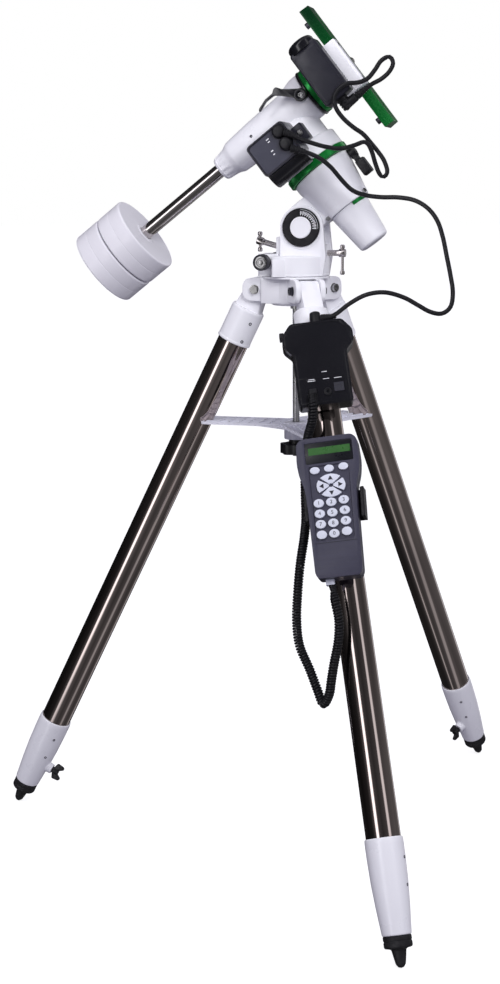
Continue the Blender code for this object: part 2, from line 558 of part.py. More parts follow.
def make_dec_motor(turn_axis):
    """Motor box beside the saddle, with a round end and an elbow plug below it."""
    box = piece("dec_motor_box", block((0.0665, 0.1075), (-0.0680, -0.0415),
                                       (-0.0400, 0.0440)), "grey_plastic", turn_axis)
    drum = [(0.0, 0.0400), (0.0190, 0.0400), (0.0190, 0.0490), (0.0165, 0.0525),
            (0.0110, 0.0545), (0.0, 0.0550)]
    join(box, turned(drum, MEDIUM), turn_axis, at=(0.0860, -0.0545, 0.0))
    join(box, rod(0.0068, -0.0565, -0.0380, 12), turn_axis, at=(0.0880, -0.0545, 0.0))
    join(box, rod(0.0050, 0.0890, 0.1055, 12), turn_axis, at=(0.0, -0.0545, -0.0510),
         turn=ALONG_X)
    cut(box, block((0.0690, 0.1050), (-0.0655, -0.0300), (-0.0375, 0.0415)), turn_axis)
    motor = [(0.0, -0.0300), (0.0040, -0.0300), (0.0040, -0.0180), (0.0100, -0.0175),
             (0.0100, 0.0300), (0.0, 0.0300)]
    piece("dec_motor", turned(motor, 20), "zinc_bolt", turn_axis, at=(0.0860, -0.0520, 0.0))


# ---- electronics on the front leg ---------------------------------------------------------

def make_control_box(leg):
    side = frame("control_box_frame", leg, turn=Matrix.Rotation(BOX_TURN, 4, "Z")
                 @ Matrix.Translation((0.0, 0.0020, 0.0)))
    half = [(0.0345, -0.0640), (0.0470, -0.0800), (0.0470, -0.0960), (0.0355, -0.1080),
            (0.0355, -0.1800)]
    outline = half + [(-y, z) for y, z in reversed(half)]
    box = piece("control_box", prism(outline, 0.0250, 0.0520, "X"), "black_plastic", side)
    join(box, ring(TUBE_R + GAP, TUBE_R + 0.0030, -0.1500, -0.1150), leg)
    join(box, rod(0.0070, -0.0680, -0.0520, 16), side, at=(0.0400, 0.0010, 0.0))
    cut(box, rod(TUBE_R + GAP, -0.1600, -0.1000, MEDIUM), leg)
    cut(box, block((0.0278, 0.0495), (-0.0330, 0.0330), (-0.1775, -0.0670)), side)
    cut(box, rod(0.0018, -0.1900, -0.1700, 8), side, at=(0.0400, -0.0160, 0.0))


def make_handset(leg):
    """Handset, its rubber keypad and the holder that clips round the leg."""
    middle = Matrix.Translation((0.0, 0.0, -HANDSET_MIDDLE))
    tilt = middle @ Matrix.Rotation(HANDSET_TILT, 4, "X") @ middle.inverted()
    side = frame("handset_frame", leg, turn=Matrix.Rotation(HANDSET_TURN, 4, "Z") @ tilt
                 @ Matrix.Translation((0.0, 0.0020, 0.0)))
    lift = frame("handset_slide", side)
    half = [(0.0330, -0.2270), (0.0395, -0.2330), (0.0410, -0.2640), (0.0345, -0.2960),
            (0.0300, -0.4050), (0.0265, -0.4120)]
    outline = half + [(-y, z) for y, z in reversed(half)]
    handset = piece("handset", prism(outline, 0.0360, 0.0640, "X"), "handset_plastic", lift)
    cut(handset, block((0.0380, 0.0560), (-0.0265, 0.0265), (-0.4060, -0.2330)), lift)
    cut(handset, rod(0.0018, -0.4200, -0.4000, 8), lift, at=(0.0475, -0.0150, 0.0))
    cut(handset, block((0.0585, 0.0700), (-0.0262, 0.0262), (-0.3640, -0.2650)), lift)
    press = frame("keypad_slide", lift)
    piece("keypad", block((0.0608, 0.0646), (-0.0259, 0.0259), (-0.3637, -0.2653)),
          "key_rubber", press)

    holder = piece("handset_holder", block((0.0300, 0.0345), (-0.0395, 0.0395),
                                           (-0.3350, -0.2950)), "black_plastic", side)
    for sign in (-1.0, 1.0):
        edges = sorted((sign * 0.0358, sign * 0.0395))
        join(holder, block((0.0320, 0.0540), edges, (-0.3350, -0.2950)), side)
    join(holder, block((0.0238, 0.0320), (-0.0090, 0.0090), (-0.3200, -0.2980)), side)
    join(holder, ring(TUBE_R + GAP, TUBE_R + 0.0030, -0.3200, -0.2980), leg)
    cut(holder, rod(TUBE_R + GAP, -0.3300, -0.2900, MEDIUM), leg)


# ---- cables -------------------------------------------------------------------------------

def smooth_route(points, step):
    """Even points along a Catmull-Rom curve through the route's points."""
    knots = [Vector(p) for p in points]
    knots = [2 * knots[0] - knots[1]] + knots + [2 * knots[-1] - knots[-2]]
    dense = []
    for a, b, c, d in zip(knots, knots[1:], knots[2:], knots[3:]):
        for i in range(24):
            t = i / 24.0
            dense.append(0.5 * ((2 * b) + (c - a) * t + (2 * a - 5 * b + 4 * c - d) * t ** 2
                                + (3 * b - a - 3 * c + d) * t ** 3))
    dense.append(knots[-2])
    total = sum((q - p).length for p, q in zip(dense, dense[1:]))
    count = max(2, round(total / step))
    even = [dense[0]]
    travelled = 0.0
    for p, q in zip(dense, dense[1:]):
        span = (q - p).length
        while travelled + span >= total * len(even) / count - 1e-9 and len(even) < count:
            even.append(p.lerp(q, (total * len(even) / count - travelled) / span))
        travelled += span
    return even + [dense[-1]]


def make_cable(name, route, radius, step, sides, parent):
    """A cable as a round tube along its route."""
    curve = bpy.data.curves.new(name, "CURVE")
    curve.dimensions = "3D"
    curve.bevel_depth = radius
    curve.bevel_resolution = sides
    curve.use_fill_caps = True
    curve.twist_mode = "MINIMUM"
    points = smooth_route(route, step)
    spline = curve.splines.new("POLY")
    spline.points.add(len(points) - 1)
    for target, place in zip(spline.points, points):
        target.co = (*place, 1.0)
    curve.materials.append(finish("cable_rubber"))
    made = bpy.data.objects.new(name, curve)
    bpy.context.scene.collection.objects.link(made)
    made.parent = parent


# routes from the tripod's axis at ground level
MAIN_ROUTE = (
    (0.0180, -0.0985, 0.9920), (0.0270, -0.0985, 0.9898), (0.0390, -0.0965, 0.9860),
    (0.0520, -0.0900, 0.9800), (0.0660, -0.0800, 0.9680), (0.0800, -0.0700, 0.9500),
    (0.0920, -0.0630, 0.9375), (0.1080, -0.0590, 0.9310), (0.1300, -0.0580, 0.9280),
    (0.1540, -0.0585, 0.9275), (0.1760, -0.0600, 0.9235), (0.1940, -0.0620, 0.9130),
    (0.2070, -0.0650, 0.8970), (0.2150, -0.0680, 0.8760), (0.2210, -0.0720, 0.8520),
    (0.2270, -0.0760, 0.8270), (0.2310, -0.0790, 0.8050), (0.2290, -0.0830, 0.7860),
    (0.2180, -0.0870, 0.7770), (0.2030, -0.0910, 0.7795), (0.1880, -0.0950, 0.7880),
    (0.1690, -0.0990, 0.7985), (0.1450, -0.1030, 0.8050), (0.1210, -0.1060, 0.8020),
    (0.0990, -0.1060, 0.7905), (0.0810, -0.1040, 0.7770), (0.0700, -0.1015, 0.7712),
    (0.0602, -0.1013, 0.7697),
)
DEC_ROUTE = (
    (0.0088, -0.0985, 1.0125), (0.0165, -0.0985, 1.0100), (0.0270, -0.0983, 1.0052),
    (0.0434, -0.0960, 0.9990),
    (0.0622, -0.0900, 0.9935), (0.0811, -0.0840, 0.9913), (0.0980, -0.0780, 0.9955),
    (0.1093, -0.0755, 0.9995), (0.1155, -0.0740, 0.9965), (0.1200, -0.0710, 0.9865),
    (0.1242, -0.0680, 0.9715), (0.1292, -0.0655, 0.9585), (0.1350, -0.0635, 0.9545),
    (0.1392, -0.0625, 0.9615), (0.1345, -0.0615, 0.9755), (0.1262, -0.0610, 0.9872),
    (0.1169, -0.0620, 0.9984), (0.1067, -0.0650, 1.0101), (0.0940, -0.0690, 1.0192),
    (0.0813, -0.0730, 1.0308), (0.0726, -0.0765, 1.0436), (0.0701, -0.0780, 1.0564),
    (0.0761, -0.0780, 1.0677), (0.0872, -0.0765, 1.0745), (0.1009, -0.0720, 1.0757),
    (0.1125, -0.0660, 1.0810), (0.1210, -0.0610, 1.0918), (0.1290, -0.0575, 1.1040),
    (0.1395, -0.0555, 1.1085), (0.1440, -0.0545, 1.1000), (0.1387, -0.0545, 1.0893),
    (0.1282, -0.0545, 1.0805), (0.1160, -0.0545, 1.0745), (0.1060, -0.0545, 1.0676),
    (0.0972, -0.0545, 1.0609),
)
CURLY_ROUTE = (
    (0.0613, -0.1690, 0.6755), (0.0645, -0.1750, 0.6600), (0.0628, -0.1738, 0.6410),
    (0.0565, -0.1650, 0.6240), (0.0514, -0.1566, 0.6060),
    (0.0499, -0.1589, 0.5766), (0.0540, -0.1745, 0.5403), (0.0577, -0.1877, 0.5118),
    (0.0599, -0.2078, 0.4900), (0.0594, -0.2254, 0.4635), (0.0590, -0.2380, 0.4300),
    (0.0590, -0.2450, 0.3920), (0.0630, -0.2480, 0.3590), (0.0730, -0.2500, 0.3290),
    (0.0850, -0.2580, 0.3060), (0.0985, -0.2650, 0.2950), (0.1095, -0.2700, 0.3040),
    (0.1150, -0.2720, 0.3210), (0.1175, -0.2720, 0.3440), (0.1195, -0.2710, 0.3750),
    (0.1190, -0.2690, 0.4010), (0.1152, -0.2650, 0.4200), (0.1112, -0.2590, 0.4330),
    (0.1082, -0.2535, 0.4420),
)


# ---- assembly -----------------------------------------------------------------------------

def clear_scene():
    for old in list(bpy.data.objects):
        bpy.data.objects.remove(old)


def build():
    clear_scene()
    tripod = frame("tripod_axis", at=(TRIPOD_AXIS_X, 0.0, 0.0))
    make_tripod_head(tripod)
    make_centre_rod(tripod)
    make_tray(tripod)
    legs = {name: make_leg(name, angle, tripod) for name, angle in LEG_AZIMUTHS.items()}

    azimuth = frame("azimuth_axis", tripod)
    make_azimuth_base(azimuth)
    make_latitude_axle(azimuth)
    make_azimuth_knobs(azimuth)
    inward = Matrix.Rotation(NORTH_BOLT_SLOPE, 4, "Y")
    make_latitude_bolt("north", azimuth, NORTH_BOLT_TIP, inward @ Matrix.Rotation(
        math.radians(-90.0), 4, "Y"), 0.0650, 0.0130, 0.0150)
    make_latitude_bolt("south", azimuth, SOUTH_BOLT_TIP, ALONG_X, 0.0500, 0.0115, 0.0300)

    latitude = frame("latitude_axis", azimuth, at=(LATITUDE_X, 0.0, LATITUDE_Z))
    tilt = Matrix.Rotation(LATITUDE - math.radians(90.0), 4, "Y")
    polar = frame("polar_axis", latitude, turn=tilt,
                  at=(CROSSING_X - LATITUDE_X, 0.0, CROSSING_Z - LATITUDE_Z))
    make_polar_housing(latitude, polar)
    make_polar_cap(polar)
    circle = frame("ra_circle_axis", polar)
    piece("ra_setting_circle", ring(0.0300, 0.0478, -0.0880, -0.0772, FINE),
          "green_anodised", circle)
    lever = [(0.0, 0.0060), (-0.0130, 0.0050), (-0.0160, 0.0080), (-0.0330, 0.0080),
             (-0.0350, 0.0060), (-0.0350, -0.0060), (-0.0330, -0.0080), (-0.0160, -0.0080),
             (-0.0130, -0.0050), (0.0, -0.0060)]
    make_clutch_lever("ra_clutch_lever", polar, ((0.0, 0.0, -0.0980),
                      ALONG_X @ Matrix.Rotation(math.radians(180.0), 4, "Z")),
                      lever, (0.0452, 0.0530), (0.0078, 0.0437, 0.0538))

    spin = frame("ra_axis", polar)
    make_dec_housing(spin)
    make_polar_drive(polar, spin)
    make_ra_motor(spin)
    make_counterweights(spin)
    tail = [(0.0040, 0.0060), (-0.0220, 0.0290), (-0.0560, 0.0230), (-0.0570, 0.0200),
            (-0.0230, 0.0235), (-0.0050, -0.0050)]
    make_clutch_lever("dec_clutch_lever", spin, ((0.0452, 0.0, 0.0005),
                      Matrix.Rotation(math.radians(90.0), 4, "X")),
                      tail, (0.0370, 0.0430), (0.0090, 0.0352, 0.0455))

    turn_axis = frame("dec_axis", spin)
    make_dec_drive(spin, turn_axis)
    circle = frame("dec_circle_axis", spin)
    piece("dec_setting_circle", ring(0.0200, 0.0345, 0.0508, 0.0620, FINE),
          "green_anodised", circle, turn=ALONG_X)
    make_saddle(turn_axis)
    make_saddle_screw(turn_axis)
    make_dovetail(turn_axis)
    make_dec_motor(turn_axis)

    make_control_box(legs["front"])
    make_handset(legs["front"])
    make_cable("main_cable", MAIN_ROUTE, CABLE_R, CABLE_STEP * 1.4, 2, tripod)
    make_cable("dec_cable", DEC_ROUTE, CABLE_R, CABLE_STEP, 2, tripod)
    make_cable("curly_cable", CURLY_ROUTE, CURLY_R, CABLE_STEP * 1.6, 2, tripod)


build()
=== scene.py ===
"""Looks of the computerised equatorial mount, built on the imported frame.

Metres, +Z up. A piece is made in the frame of the axis that it belongs to, as its CAD node is:
distances down a leg (s) are -Z of the leg's frame, a and b run along the polar and the
declination axis.
"""

from math import copysign, cos, pi, radians, sin

import bmesh
import bpy
from mathutils import Matrix, Vector


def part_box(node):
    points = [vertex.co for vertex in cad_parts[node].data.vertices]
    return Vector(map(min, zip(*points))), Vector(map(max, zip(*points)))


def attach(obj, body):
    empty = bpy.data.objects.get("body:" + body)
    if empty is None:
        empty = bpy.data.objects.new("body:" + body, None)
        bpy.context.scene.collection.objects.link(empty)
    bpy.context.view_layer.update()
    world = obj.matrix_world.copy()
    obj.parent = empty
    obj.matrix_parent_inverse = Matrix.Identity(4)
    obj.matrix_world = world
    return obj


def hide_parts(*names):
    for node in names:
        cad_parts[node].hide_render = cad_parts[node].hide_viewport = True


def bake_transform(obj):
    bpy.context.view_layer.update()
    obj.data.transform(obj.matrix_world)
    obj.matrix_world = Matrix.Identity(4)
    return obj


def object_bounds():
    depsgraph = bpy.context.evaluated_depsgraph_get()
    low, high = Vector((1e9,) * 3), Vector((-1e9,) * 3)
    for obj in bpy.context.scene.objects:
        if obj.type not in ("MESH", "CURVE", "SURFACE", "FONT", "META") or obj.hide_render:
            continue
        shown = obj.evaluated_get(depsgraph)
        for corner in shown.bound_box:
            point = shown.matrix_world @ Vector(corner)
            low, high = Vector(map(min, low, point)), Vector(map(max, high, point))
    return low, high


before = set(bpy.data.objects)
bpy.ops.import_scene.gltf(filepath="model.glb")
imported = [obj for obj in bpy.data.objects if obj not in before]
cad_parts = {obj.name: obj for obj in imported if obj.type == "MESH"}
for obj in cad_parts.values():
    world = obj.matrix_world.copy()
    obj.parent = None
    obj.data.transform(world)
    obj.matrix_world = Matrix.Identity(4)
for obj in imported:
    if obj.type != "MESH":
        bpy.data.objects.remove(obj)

cad_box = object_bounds()

# ---- places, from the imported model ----

rod_low, rod_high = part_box("centre_rod")
TRIPOD_X = 0.5 * (rod_low.x + rod_high.x)           # the tripod's vertical axis
bolt_low, bolt_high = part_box("leg_hinge_bolt_north")
HINGE_Z = 0.5 * (bolt_low.z + bolt_high.z)
HINGE_RADIUS = TRIPOD_X - 0.5 * (bolt_low.x + bolt_high.x)
FLOOR_Z = cad_box[0][2]

LEG_SPLAY = 26.25
LEG_AZIMUTHS = {"front": -60.0, "north": 180.0, "back": 60.0}
SCREW_TURN = {"front": -40.0, "north": 40.0, "back": -48.0}   # of its screws, about each leg
TUBE_R = 0.02225
TUBE_FIT = TUBE_R + 0.0003                          # inside of what is round a leg tube
HEAD_TOP = 0.8203
CABLE_R = 0.003
COIL_R = 0.0064                                     # outside of the curly cord
CURLY_WIRE_R = 0.0018
CURLY_PITCH = 0.0037
BEVEL_FROM, SHARP_FROM = radians(38.0), radians(32.0)


def turn(degrees, axis):
    return Matrix.Rotation(radians(degrees), 4, axis)


def move(x, y, z):
    return Matrix.Translation((x, y, z))


def mm(text):
    """Points in metres from "x y, x y" in millimetres."""
    return [tuple(float(f"{number}e-3") for number in point.split())
            for point in text.split(",")]


def read(points):
    return mm(points) if isinstance(points, str) else points


def spans(given):
    """Three spans and a radius from what block or plate was given."""
    if isinstance(given[0], str):
        given = (*mm(given[0]), *given[1:])
    return given[:3], given[3] if len(given) > 3 else 0.0


ALONG_X = turn(90.0, "Y")
ALONG_Y = turn(-90.0, "X")
TO_NEAR = turn(90.0, "X")                           # +Z towards -Y
TO_MINUS_X = turn(-90.0, "Y")
TRIPOD = move(TRIPOD_X, 0.0, 0.0)
LATITUDE = TRIPOD @ move(0.0135, 0.0, 0.8875)
POLAR = TRIPOD @ move(-0.0189, 0.0, 1.0354) @ turn(52.2 - 90.0, "Y")
DEC = POLAR @ ALONG_X
LEGS = {name: TRIPOD @ turn(azimuth, "Z") @ move(HINGE_RADIUS, 0.0, HINGE_Z)
        @ turn(-LEG_SPLAY, "Y") for name, azimuth in LEG_AZIMUTHS.items()}
BOX = LEGS["front"] @ turn(-15.0, "Z") @ move(0.0, 0.002, 0.0)
HANDSET_MID = 0.315                                 # down the leg
HOLDER = (LEGS["front"] @ turn(-24.0, "Z") @ move(0.0, 0.0, -HANDSET_MID) @ turn(-3.7, "X")
          @ move(0.0, 0.0, HANDSET_MID) @ move(0.0, 0.002, 0.0))
HANDSET_LEAN = 1.6                                  # in its holder
HANDSET = (HOLDER @ move(0.0, -0.0016, -HANDSET_MID) @ turn(HANDSET_LEAN, "X")
           @ move(0.0, 0.0, HANDSET_MID))

# ---- camera ----

CAMERA_AT = Vector((TRIPOD_X + 0.51559, -2.15683, 0.937))
CAMERA_WAY = Vector((-0.25685, 0.94798, -0.18807)).normalized()
CAMERA_ROLL = 0.0067
CAMERA_LENS = 57.48


def make_camera():
    data = bpy.data.cameras.new("camera")
    data.sensor_width = 36.0
    data.lens = CAMERA_LENS
    camera = bpy.data.objects.new("camera", data)
    bpy.context.scene.collection.objects.link(camera)
    right = CAMERA_WAY.cross(Vector((0.0, 0.0, 1.0))).normalized()
    up = right.cross(CAMERA_WAY)
    facing = Matrix((right, up, -CAMERA_WAY)).transposed()
    facing = Matrix.Rotation(CAMERA_ROLL, 3, CAMERA_WAY) @ facing
    camera.matrix_world = Matrix.Translation(CAMERA_AT) @ facing.to_4x4()
    bpy.context.scene.camera = camera


# ---- materials ----

LOOKS = {}
BUMP_HEIGHT = 0.0004


def add(tree, kind, **values):
    """A shader node with its inputs' values; _ stands for a space in an input's name."""
    node = tree.nodes.new("ShaderNode" + kind)
    for key, value in values.items():
        node.inputs[key.replace("_", " ")].default_value = value
    return node


def noise(tree, vector, scale, detail=3.0, roughness=0.55):
    node = add(tree, "TexNoise", Scale=scale, Detail=detail, Roughness=roughness)
    tree.links.new(vector, node.inputs["Vector"])
    return node.outputs["Fac"]


def spread_range(tree, value, low=0.0, high=1.0, source=(0.32, 0.68)):
    node = add(tree, "MapRange", From_Min=source[0], From_Max=source[1], To_Min=low, To_Max=high)
    tree.links.new(value, node.inputs["Value"])
    return node.outputs["Result"]


def colour_mix(tree, factor, low, high):
    node = add(tree, "Mix")
    node.data_type = "RGBA"
    tree.links.new(factor, node.inputs[0])
    for socket, colour in ((node.inputs[6], low), (node.inputs[7], high)):
        if isinstance(colour, tuple):
            socket.default_value = (*colour, 1.0)
        else:
            tree.links.new(colour, socket)
    return node.outputs[2]


def look(name, colour, rough, metal=0.0, spread=0.06, patch=14.0, grain=1400.0,
         relief=0.1, stretch=(1.0, 1.0, 1.0), coat=0.0, through=0.0, edge=None, shade=None,
         hidden=False, mottle=0.35, painted_shade_along=None):
    """A procedural finish: patchy colour and gloss, a fine grain, rubbed spots, and painted shade,
    a colour that changes along the piece from the given low to the given high place."""
    made = bpy.data.materials.new(name)
    made.use_nodes = True
    tree = made.node_tree
    wire = tree.links.new
    shader = tree.nodes["Principled BSDF"]
    if hidden:
        place = add(tree, "TexCoord").outputs["Object"]
    else:
        kept = add(tree, "Attribute")
        kept.attribute_name = "place"
        place = kept.outputs["Vector"]
    scaled = add(tree, "Mapping", Scale=stretch)
    wire(place, scaled.inputs["Vector"])
    fine = noise(tree, scaled.outputs["Vector"], grain)
    low = tuple(c * (1.0 - spread) for c in (shade or colour))
    high = tuple(min(1.0, c * (1.0 + spread)) for c in colour)
    blend = add(tree, "Math")
    blend.operation = "MULTIPLY_ADD"
    blend.inputs[1].default_value = mottle
    wire(fine, blend.inputs[0])
    wire(spread_range(tree, noise(tree, place, patch, 4.0), 0.0, 0.65), blend.inputs[2])
    tint = colour_mix(tree, blend.outputs[0], low, high)
    if edge:
        rubbed = spread_range(tree, noise(tree, place, 130.0, 5.0, 0.65), 0.0, 0.3, (0.6, 0.78))
        tint = colour_mix(tree, rubbed, tint, edge)
    # painted shade: the colour turns towards the given shade colour along the piece's own z
    if painted_shade_along:
        split = add(tree, "SeparateXYZ")
        wire(place, split.inputs[0])
        along_z = spread_range(tree, split.outputs["Z"], source=painted_shade_along[:2])
        tint = colour_mix(tree, along_z, tint, painted_shade_along[2])
    wire(tint, shader.inputs["Base Color"])
    wire(spread_range(tree, noise(tree, place, 3.0 * patch, 5.0), 0.8 * rough,
        min(1.0, 1.3 * rough)), shader.inputs["Roughness"])
    bump = add(tree, "Bump", Strength=relief, Distance=BUMP_HEIGHT)
    wire(fine, bump.inputs["Height"])
    wire(bump.outputs["Normal"], shader.inputs["Normal"])
    for key, value in (("Metallic", metal), ("Coat Weight", coat), ("Coat Roughness", 0.12),
            ("Transmission Weight", through)):
        shader.inputs[key].default_value = value
    LOOKS[name] = made


def make_looks():
    look("enamel", (0.86, 0.86, 0.9), 0.3, patch=9.0, spread=0.02, relief=0.05,
        grain=700.0, coat=0.35, edge=(0.92, 0.92, 0.94))
    look("weight_enamel", (0.8, 0.79, 0.84), 0.36, patch=12.0, spread=0.03,
        relief=0.07, grain=600.0, coat=0.25, edge=(0.9, 0.9, 0.93))
    look("polished_steel", (0.6, 0.51, 0.48), 0.07, 1.0, spread=0.06, patch=5.0,
        grain=420.0, relief=0.05, stretch=(1.0, 1.0, 0.012), shade=(0.46, 0.4, 0.38))
    look("chrome_bar", (0.66, 0.62, 0.61), 0.1, 1.0, spread=0.06, patch=8.0, grain=500.0,
        relief=0.03, stretch=(1.0, 1.0, 0.02))
    look("zinc", (0.5, 0.5, 0.52), 0.3, 1.0, spread=0.12, patch=60.0, grain=900.0,
        relief=0.12, shade=(0.38, 0.38, 0.36), edge=(0.75, 0.75, 0.76))
    look("dark_bolt", (0.1, 0.1, 0.12), 0.32, 1.0, spread=0.2, patch=80.0, relief=0.12,
        edge=(0.4, 0.4, 0.42))
    look("green_metal", (0.012, 0.36, 0.06), 0.24, 0.55, spread=0.06, patch=16.0,
        grain=1800.0, relief=0.03, shade=(0.008, 0.24, 0.04), mottle=0.08)
    # the dovetail bar: a darker green than green_metal, with painted shade that darkens it towards
    # its upper end (+z)
    look("green_bar", (0.006, 0.22, 0.036), 0.24, 0.45, spread=0.06, patch=16.0,
        grain=1800.0, relief=0.02, shade=(0.005, 0.16, 0.028), mottle=0.06,
        painted_shade_along=(-0.04, 0.08, (0.003, 0.045, 0.014)))
    look("gloss_black", (0.008, 0.008, 0.011), 0.2, spread=0.2, patch=10.0,
        grain=900.0, relief=0.03, coat=0.3, edge=(0.02, 0.02, 0.026))
    look("dial_black", (0.005, 0.005, 0.007), 0.5, spread=0.2, patch=40.0,
        grain=1500.0, relief=0.1, edge=(0.012, 0.012, 0.015))
    look("matt_black", (0.01, 0.01, 0.012), 0.4, spread=0.2, patch=30.0,
        grain=1600.0, relief=0.25, edge=(0.03, 0.03, 0.034))
    look("rubber_black", (0.012, 0.012, 0.014), 0.6, spread=0.25, patch=60.0,
        grain=900.0, relief=0.3, edge=(0.05, 0.05, 0.05))
    look("motor_plastic", (0.014, 0.014, 0.022), 0.36, spread=0.15, patch=26.0,
        grain=1500.0, relief=0.15, coat=0.08, edge=(0.025, 0.025, 0.036))
    look("motor_face", (0.04, 0.041, 0.062), 0.38, spread=0.12, patch=26.0,
        grain=1500.0, relief=0.12, coat=0.08, edge=(0.06, 0.06, 0.085))
    look("handset_shell", (0.042, 0.041, 0.066), 0.38, spread=0.12, patch=24.0,
        grain=1700.0, relief=0.12, edge=(0.06, 0.06, 0.088))
    look("key_face", (0.62, 0.64, 0.73), 0.5, spread=0.06, patch=80.0, grain=1200.0,
        relief=0.12, edge=(0.75, 0.77, 0.84))
    look("tray_clear", (0.82, 0.82, 0.9), 0.3, spread=0.03, patch=30.0, grain=500.0,
        relief=0.03, through=0.22, edge=(0.95, 0.95, 0.98))
    look("cord_rubber", (0.01, 0.01, 0.012), 0.38, spread=0.2, patch=40.0,
        grain=900.0, relief=0.08, edge=(0.024, 0.024, 0.028))
    look("knob_metal", (0.06, 0.06, 0.07), 0.34, 0.5, spread=0.15, patch=60.0,
        grain=700.0, relief=0.15, stretch=(0.3, 0.3, 3.0), edge=(0.16, 0.16, 0.18))
    look("mark_white", (0.82, 0.83, 0.86), 0.55, spread=0.05, patch=200.0,
        relief=0.2, grain=1500.0)
    look("mark_dark", (0.03, 0.03, 0.04), 0.55, spread=0.1, patch=200.0,
        relief=0.2, grain=1500.0)
    look("display_green", (0.026, 0.115, 0.02), 0.3, spread=0.08, patch=60.0,
        relief=0.05, grain=2200.0, coat=0.3, shade=(0.022, 0.098, 0.017))
    look("window_black", (0.006, 0.007, 0.01), 0.34, spread=0.2, patch=50.0,
        relief=0.02, grain=900.0)


# ---- shapes ----

def eased(points, radius, closed, steps=4):
    """The line with its corners rounded, each by at most the radius."""
    count = len(points)
    made = []
    for i, here in enumerate(points):
        if not closed and i in (0, count - 1):
            made.append(here)
            continue
        here = Vector(here)
        before, after = Vector(points[i - 1]), Vector(points[(i + 1) % count])
        back, ahead = before - here, after - here
        reach = min(radius, 0.45 * back.length, 0.45 * ahead.length)
        if reach < 1e-6 or back.angle(ahead) > radians(176.0):
            made.append(tuple(here))
            continue
        start, end = here + back.normalized() * reach, here + ahead.normalized() * reach
        for k in range(steps + 1):
            t = k / steps
            point = start * (1 - t) ** 2 + here * 2 * t * (1 - t) + end * t ** 2
            made.append(tuple(point))
    return made


def lathe(profile, ease=0.0006, steps=72, waves=0, depth=0.0, waved=None):
    """Turned about +Z from (radius, height); waves flute the heights between waved."""
    profile = read(profile)
    solid = profile[0][0] == 0.0 and profile[-1][0] == 0.0
    points = eased(profile, ease, not solid)
    bm = bmesh.new()
    rings = []
    for radius, height in points:
        if radius < 1e-7:
            rings.append([bm.verts.new((0.0, 0.0, height))])
            continue
        fluted = waves and waved[0] <= height <= waved[1]
        ring = []
        for i in range(steps):
            angle = 2.0 * pi * i / steps
            reach = radius - (depth * (0.5 + 0.5 * cos(waves * angle)) if fluted else 0.0)
            ring.append(bm.verts.new((reach * cos(angle), reach * sin(angle), height)))
        rings.append(ring)
    following = rings[1:] if solid else rings[1:] + rings[:1]
    for a, b in zip(rings, following):
        for i in range(steps):
            j = (i + 1) % steps
            corners = [a[i % len(a)], a[j % len(a)], b[j % len(b)], b[i % len(b)]]
            corners = [c for k, c in enumerate(corners) if c not in corners[:k]]
            if len(corners) > 2:
                bm.faces.new(corners)
    bmesh.ops.recalc_face_normals(bm, faces=bm.faces)
    return bm


def slab(outline, low, high, axis="Z", ease=0.0):
    """An outline pushed from low to high along one axis, as in the CAD."""
    place = {"X": lambda u, v, w: (w, u, v), "Y": lambda u, v, w: (u, w, v), "Z": lambda u, v,
        w: (u, v, w)}[axis]
    outline = read(outline)
    points = eased(outline, ease, True) if ease else outline
    bm = bmesh.new()
    floor = [bm.verts.new(place(u, v, low)) for u, v in points]
    roof = [bm.verts.new(place(u, v, high)) for u, v in points]
    bm.faces.new(floor)
    bm.faces.new(list(reversed(roof)))
    for i in range(len(points)):
        j = (i + 1) % len(points)
        bm.faces.new([floor[j], floor[i], roof[i], roof[j]])
    bmesh.ops.recalc_face_normals(bm, faces=bm.faces)
    return bm


def block(*spans_and_ease):
    """A block from its x, y and z spans, as pairs or as one text, and its corners' radius."""
    (x, y, z), ease = spans(spans_and_ease)
    return slab([(x[0], y[0]), (x[1], y[0]), (x[1], y[1]), (x[0], y[1])], z[0], z[1], "Z", ease)


def plate(*spans_and_ease):
    """A plate on a face that looks along +X: v across, s down from the hinge, n outwards."""
    (v, s, n), ease = spans(spans_and_ease)
    return slab([(v[0], -s[0]), (v[1], -s[0]), (v[1], -s[1]), (v[0], -s[1])], n[0], n[1], "X", ease)


def oval(centre, half, count=28):
    return [(centre[0] + half[0] * cos(2.0 * pi * i / count),
        centre[1] + half[1] * sin(2.0 * pi * i / count)) for i in range(count)]


def around(radius, degrees, x=0.0, y=0.0):
    """A point at a radius and an angle round (x, y)."""
    angle = radians(degrees)
    return (x + radius * cos(angle), y + radius * sin(angle))


def arc_band(outer, inner, angles):
    """The outline of a band between two radii."""
    return [around(outer, t) for t in angles] + [around(inner, t) for t in reversed(angles)]


def mirrored(half):
    """An outline from its right half."""
    return half + [(-x, y) for x, y in reversed(half)]


def tube_band(low, high):
    """A clip's ring round a leg tube."""
    return lathe([(TUBE_FIT, low), (TUBE_R + 0.003, low), (TUBE_R + 0.003, high), (TUBE_FIT, high)],
        0.0006, 72)


def circle_ticks(count, radii, half, low, tall, short):
    """Marks round a setting circle, every sixth one taller."""
    return [(block(radii, (-half, half), (low, low + (short if k % 6 else tall))),
        turn(360.0 / count * k, "Z")) for k in range(count)]


def gather(*parts):
    """One mesh from (mesh, matrix) pairs or bare meshes."""
    whole = bmesh.new()
    for part in parts:
        bm, at = part if isinstance(part, tuple) else (part, None)
        if at is not None:
            bmesh.ops.transform(bm, matrix=at, verts=bm.verts)
        held = bpy.data.meshes.new("held")
        bm.to_mesh(held)
        whole.from_mesh(held)
        bpy.data.meshes.remove(held)
        bm.free()
    return whole


def rod(radius, low, high, steps=40, ease=0.0004):
    return lathe([(0.0, low), (radius, low), (radius, high), (0.0, high)], ease, steps)


def hexagon(across, low, high):
    return slab([(0.5 * across / cos(pi / 6) * cos(pi / 3 * i),
        0.5 * across / cos(pi / 6) * sin(pi / 3 * i)) for i in range(6)], low,
        high, "Z", 0.0004)


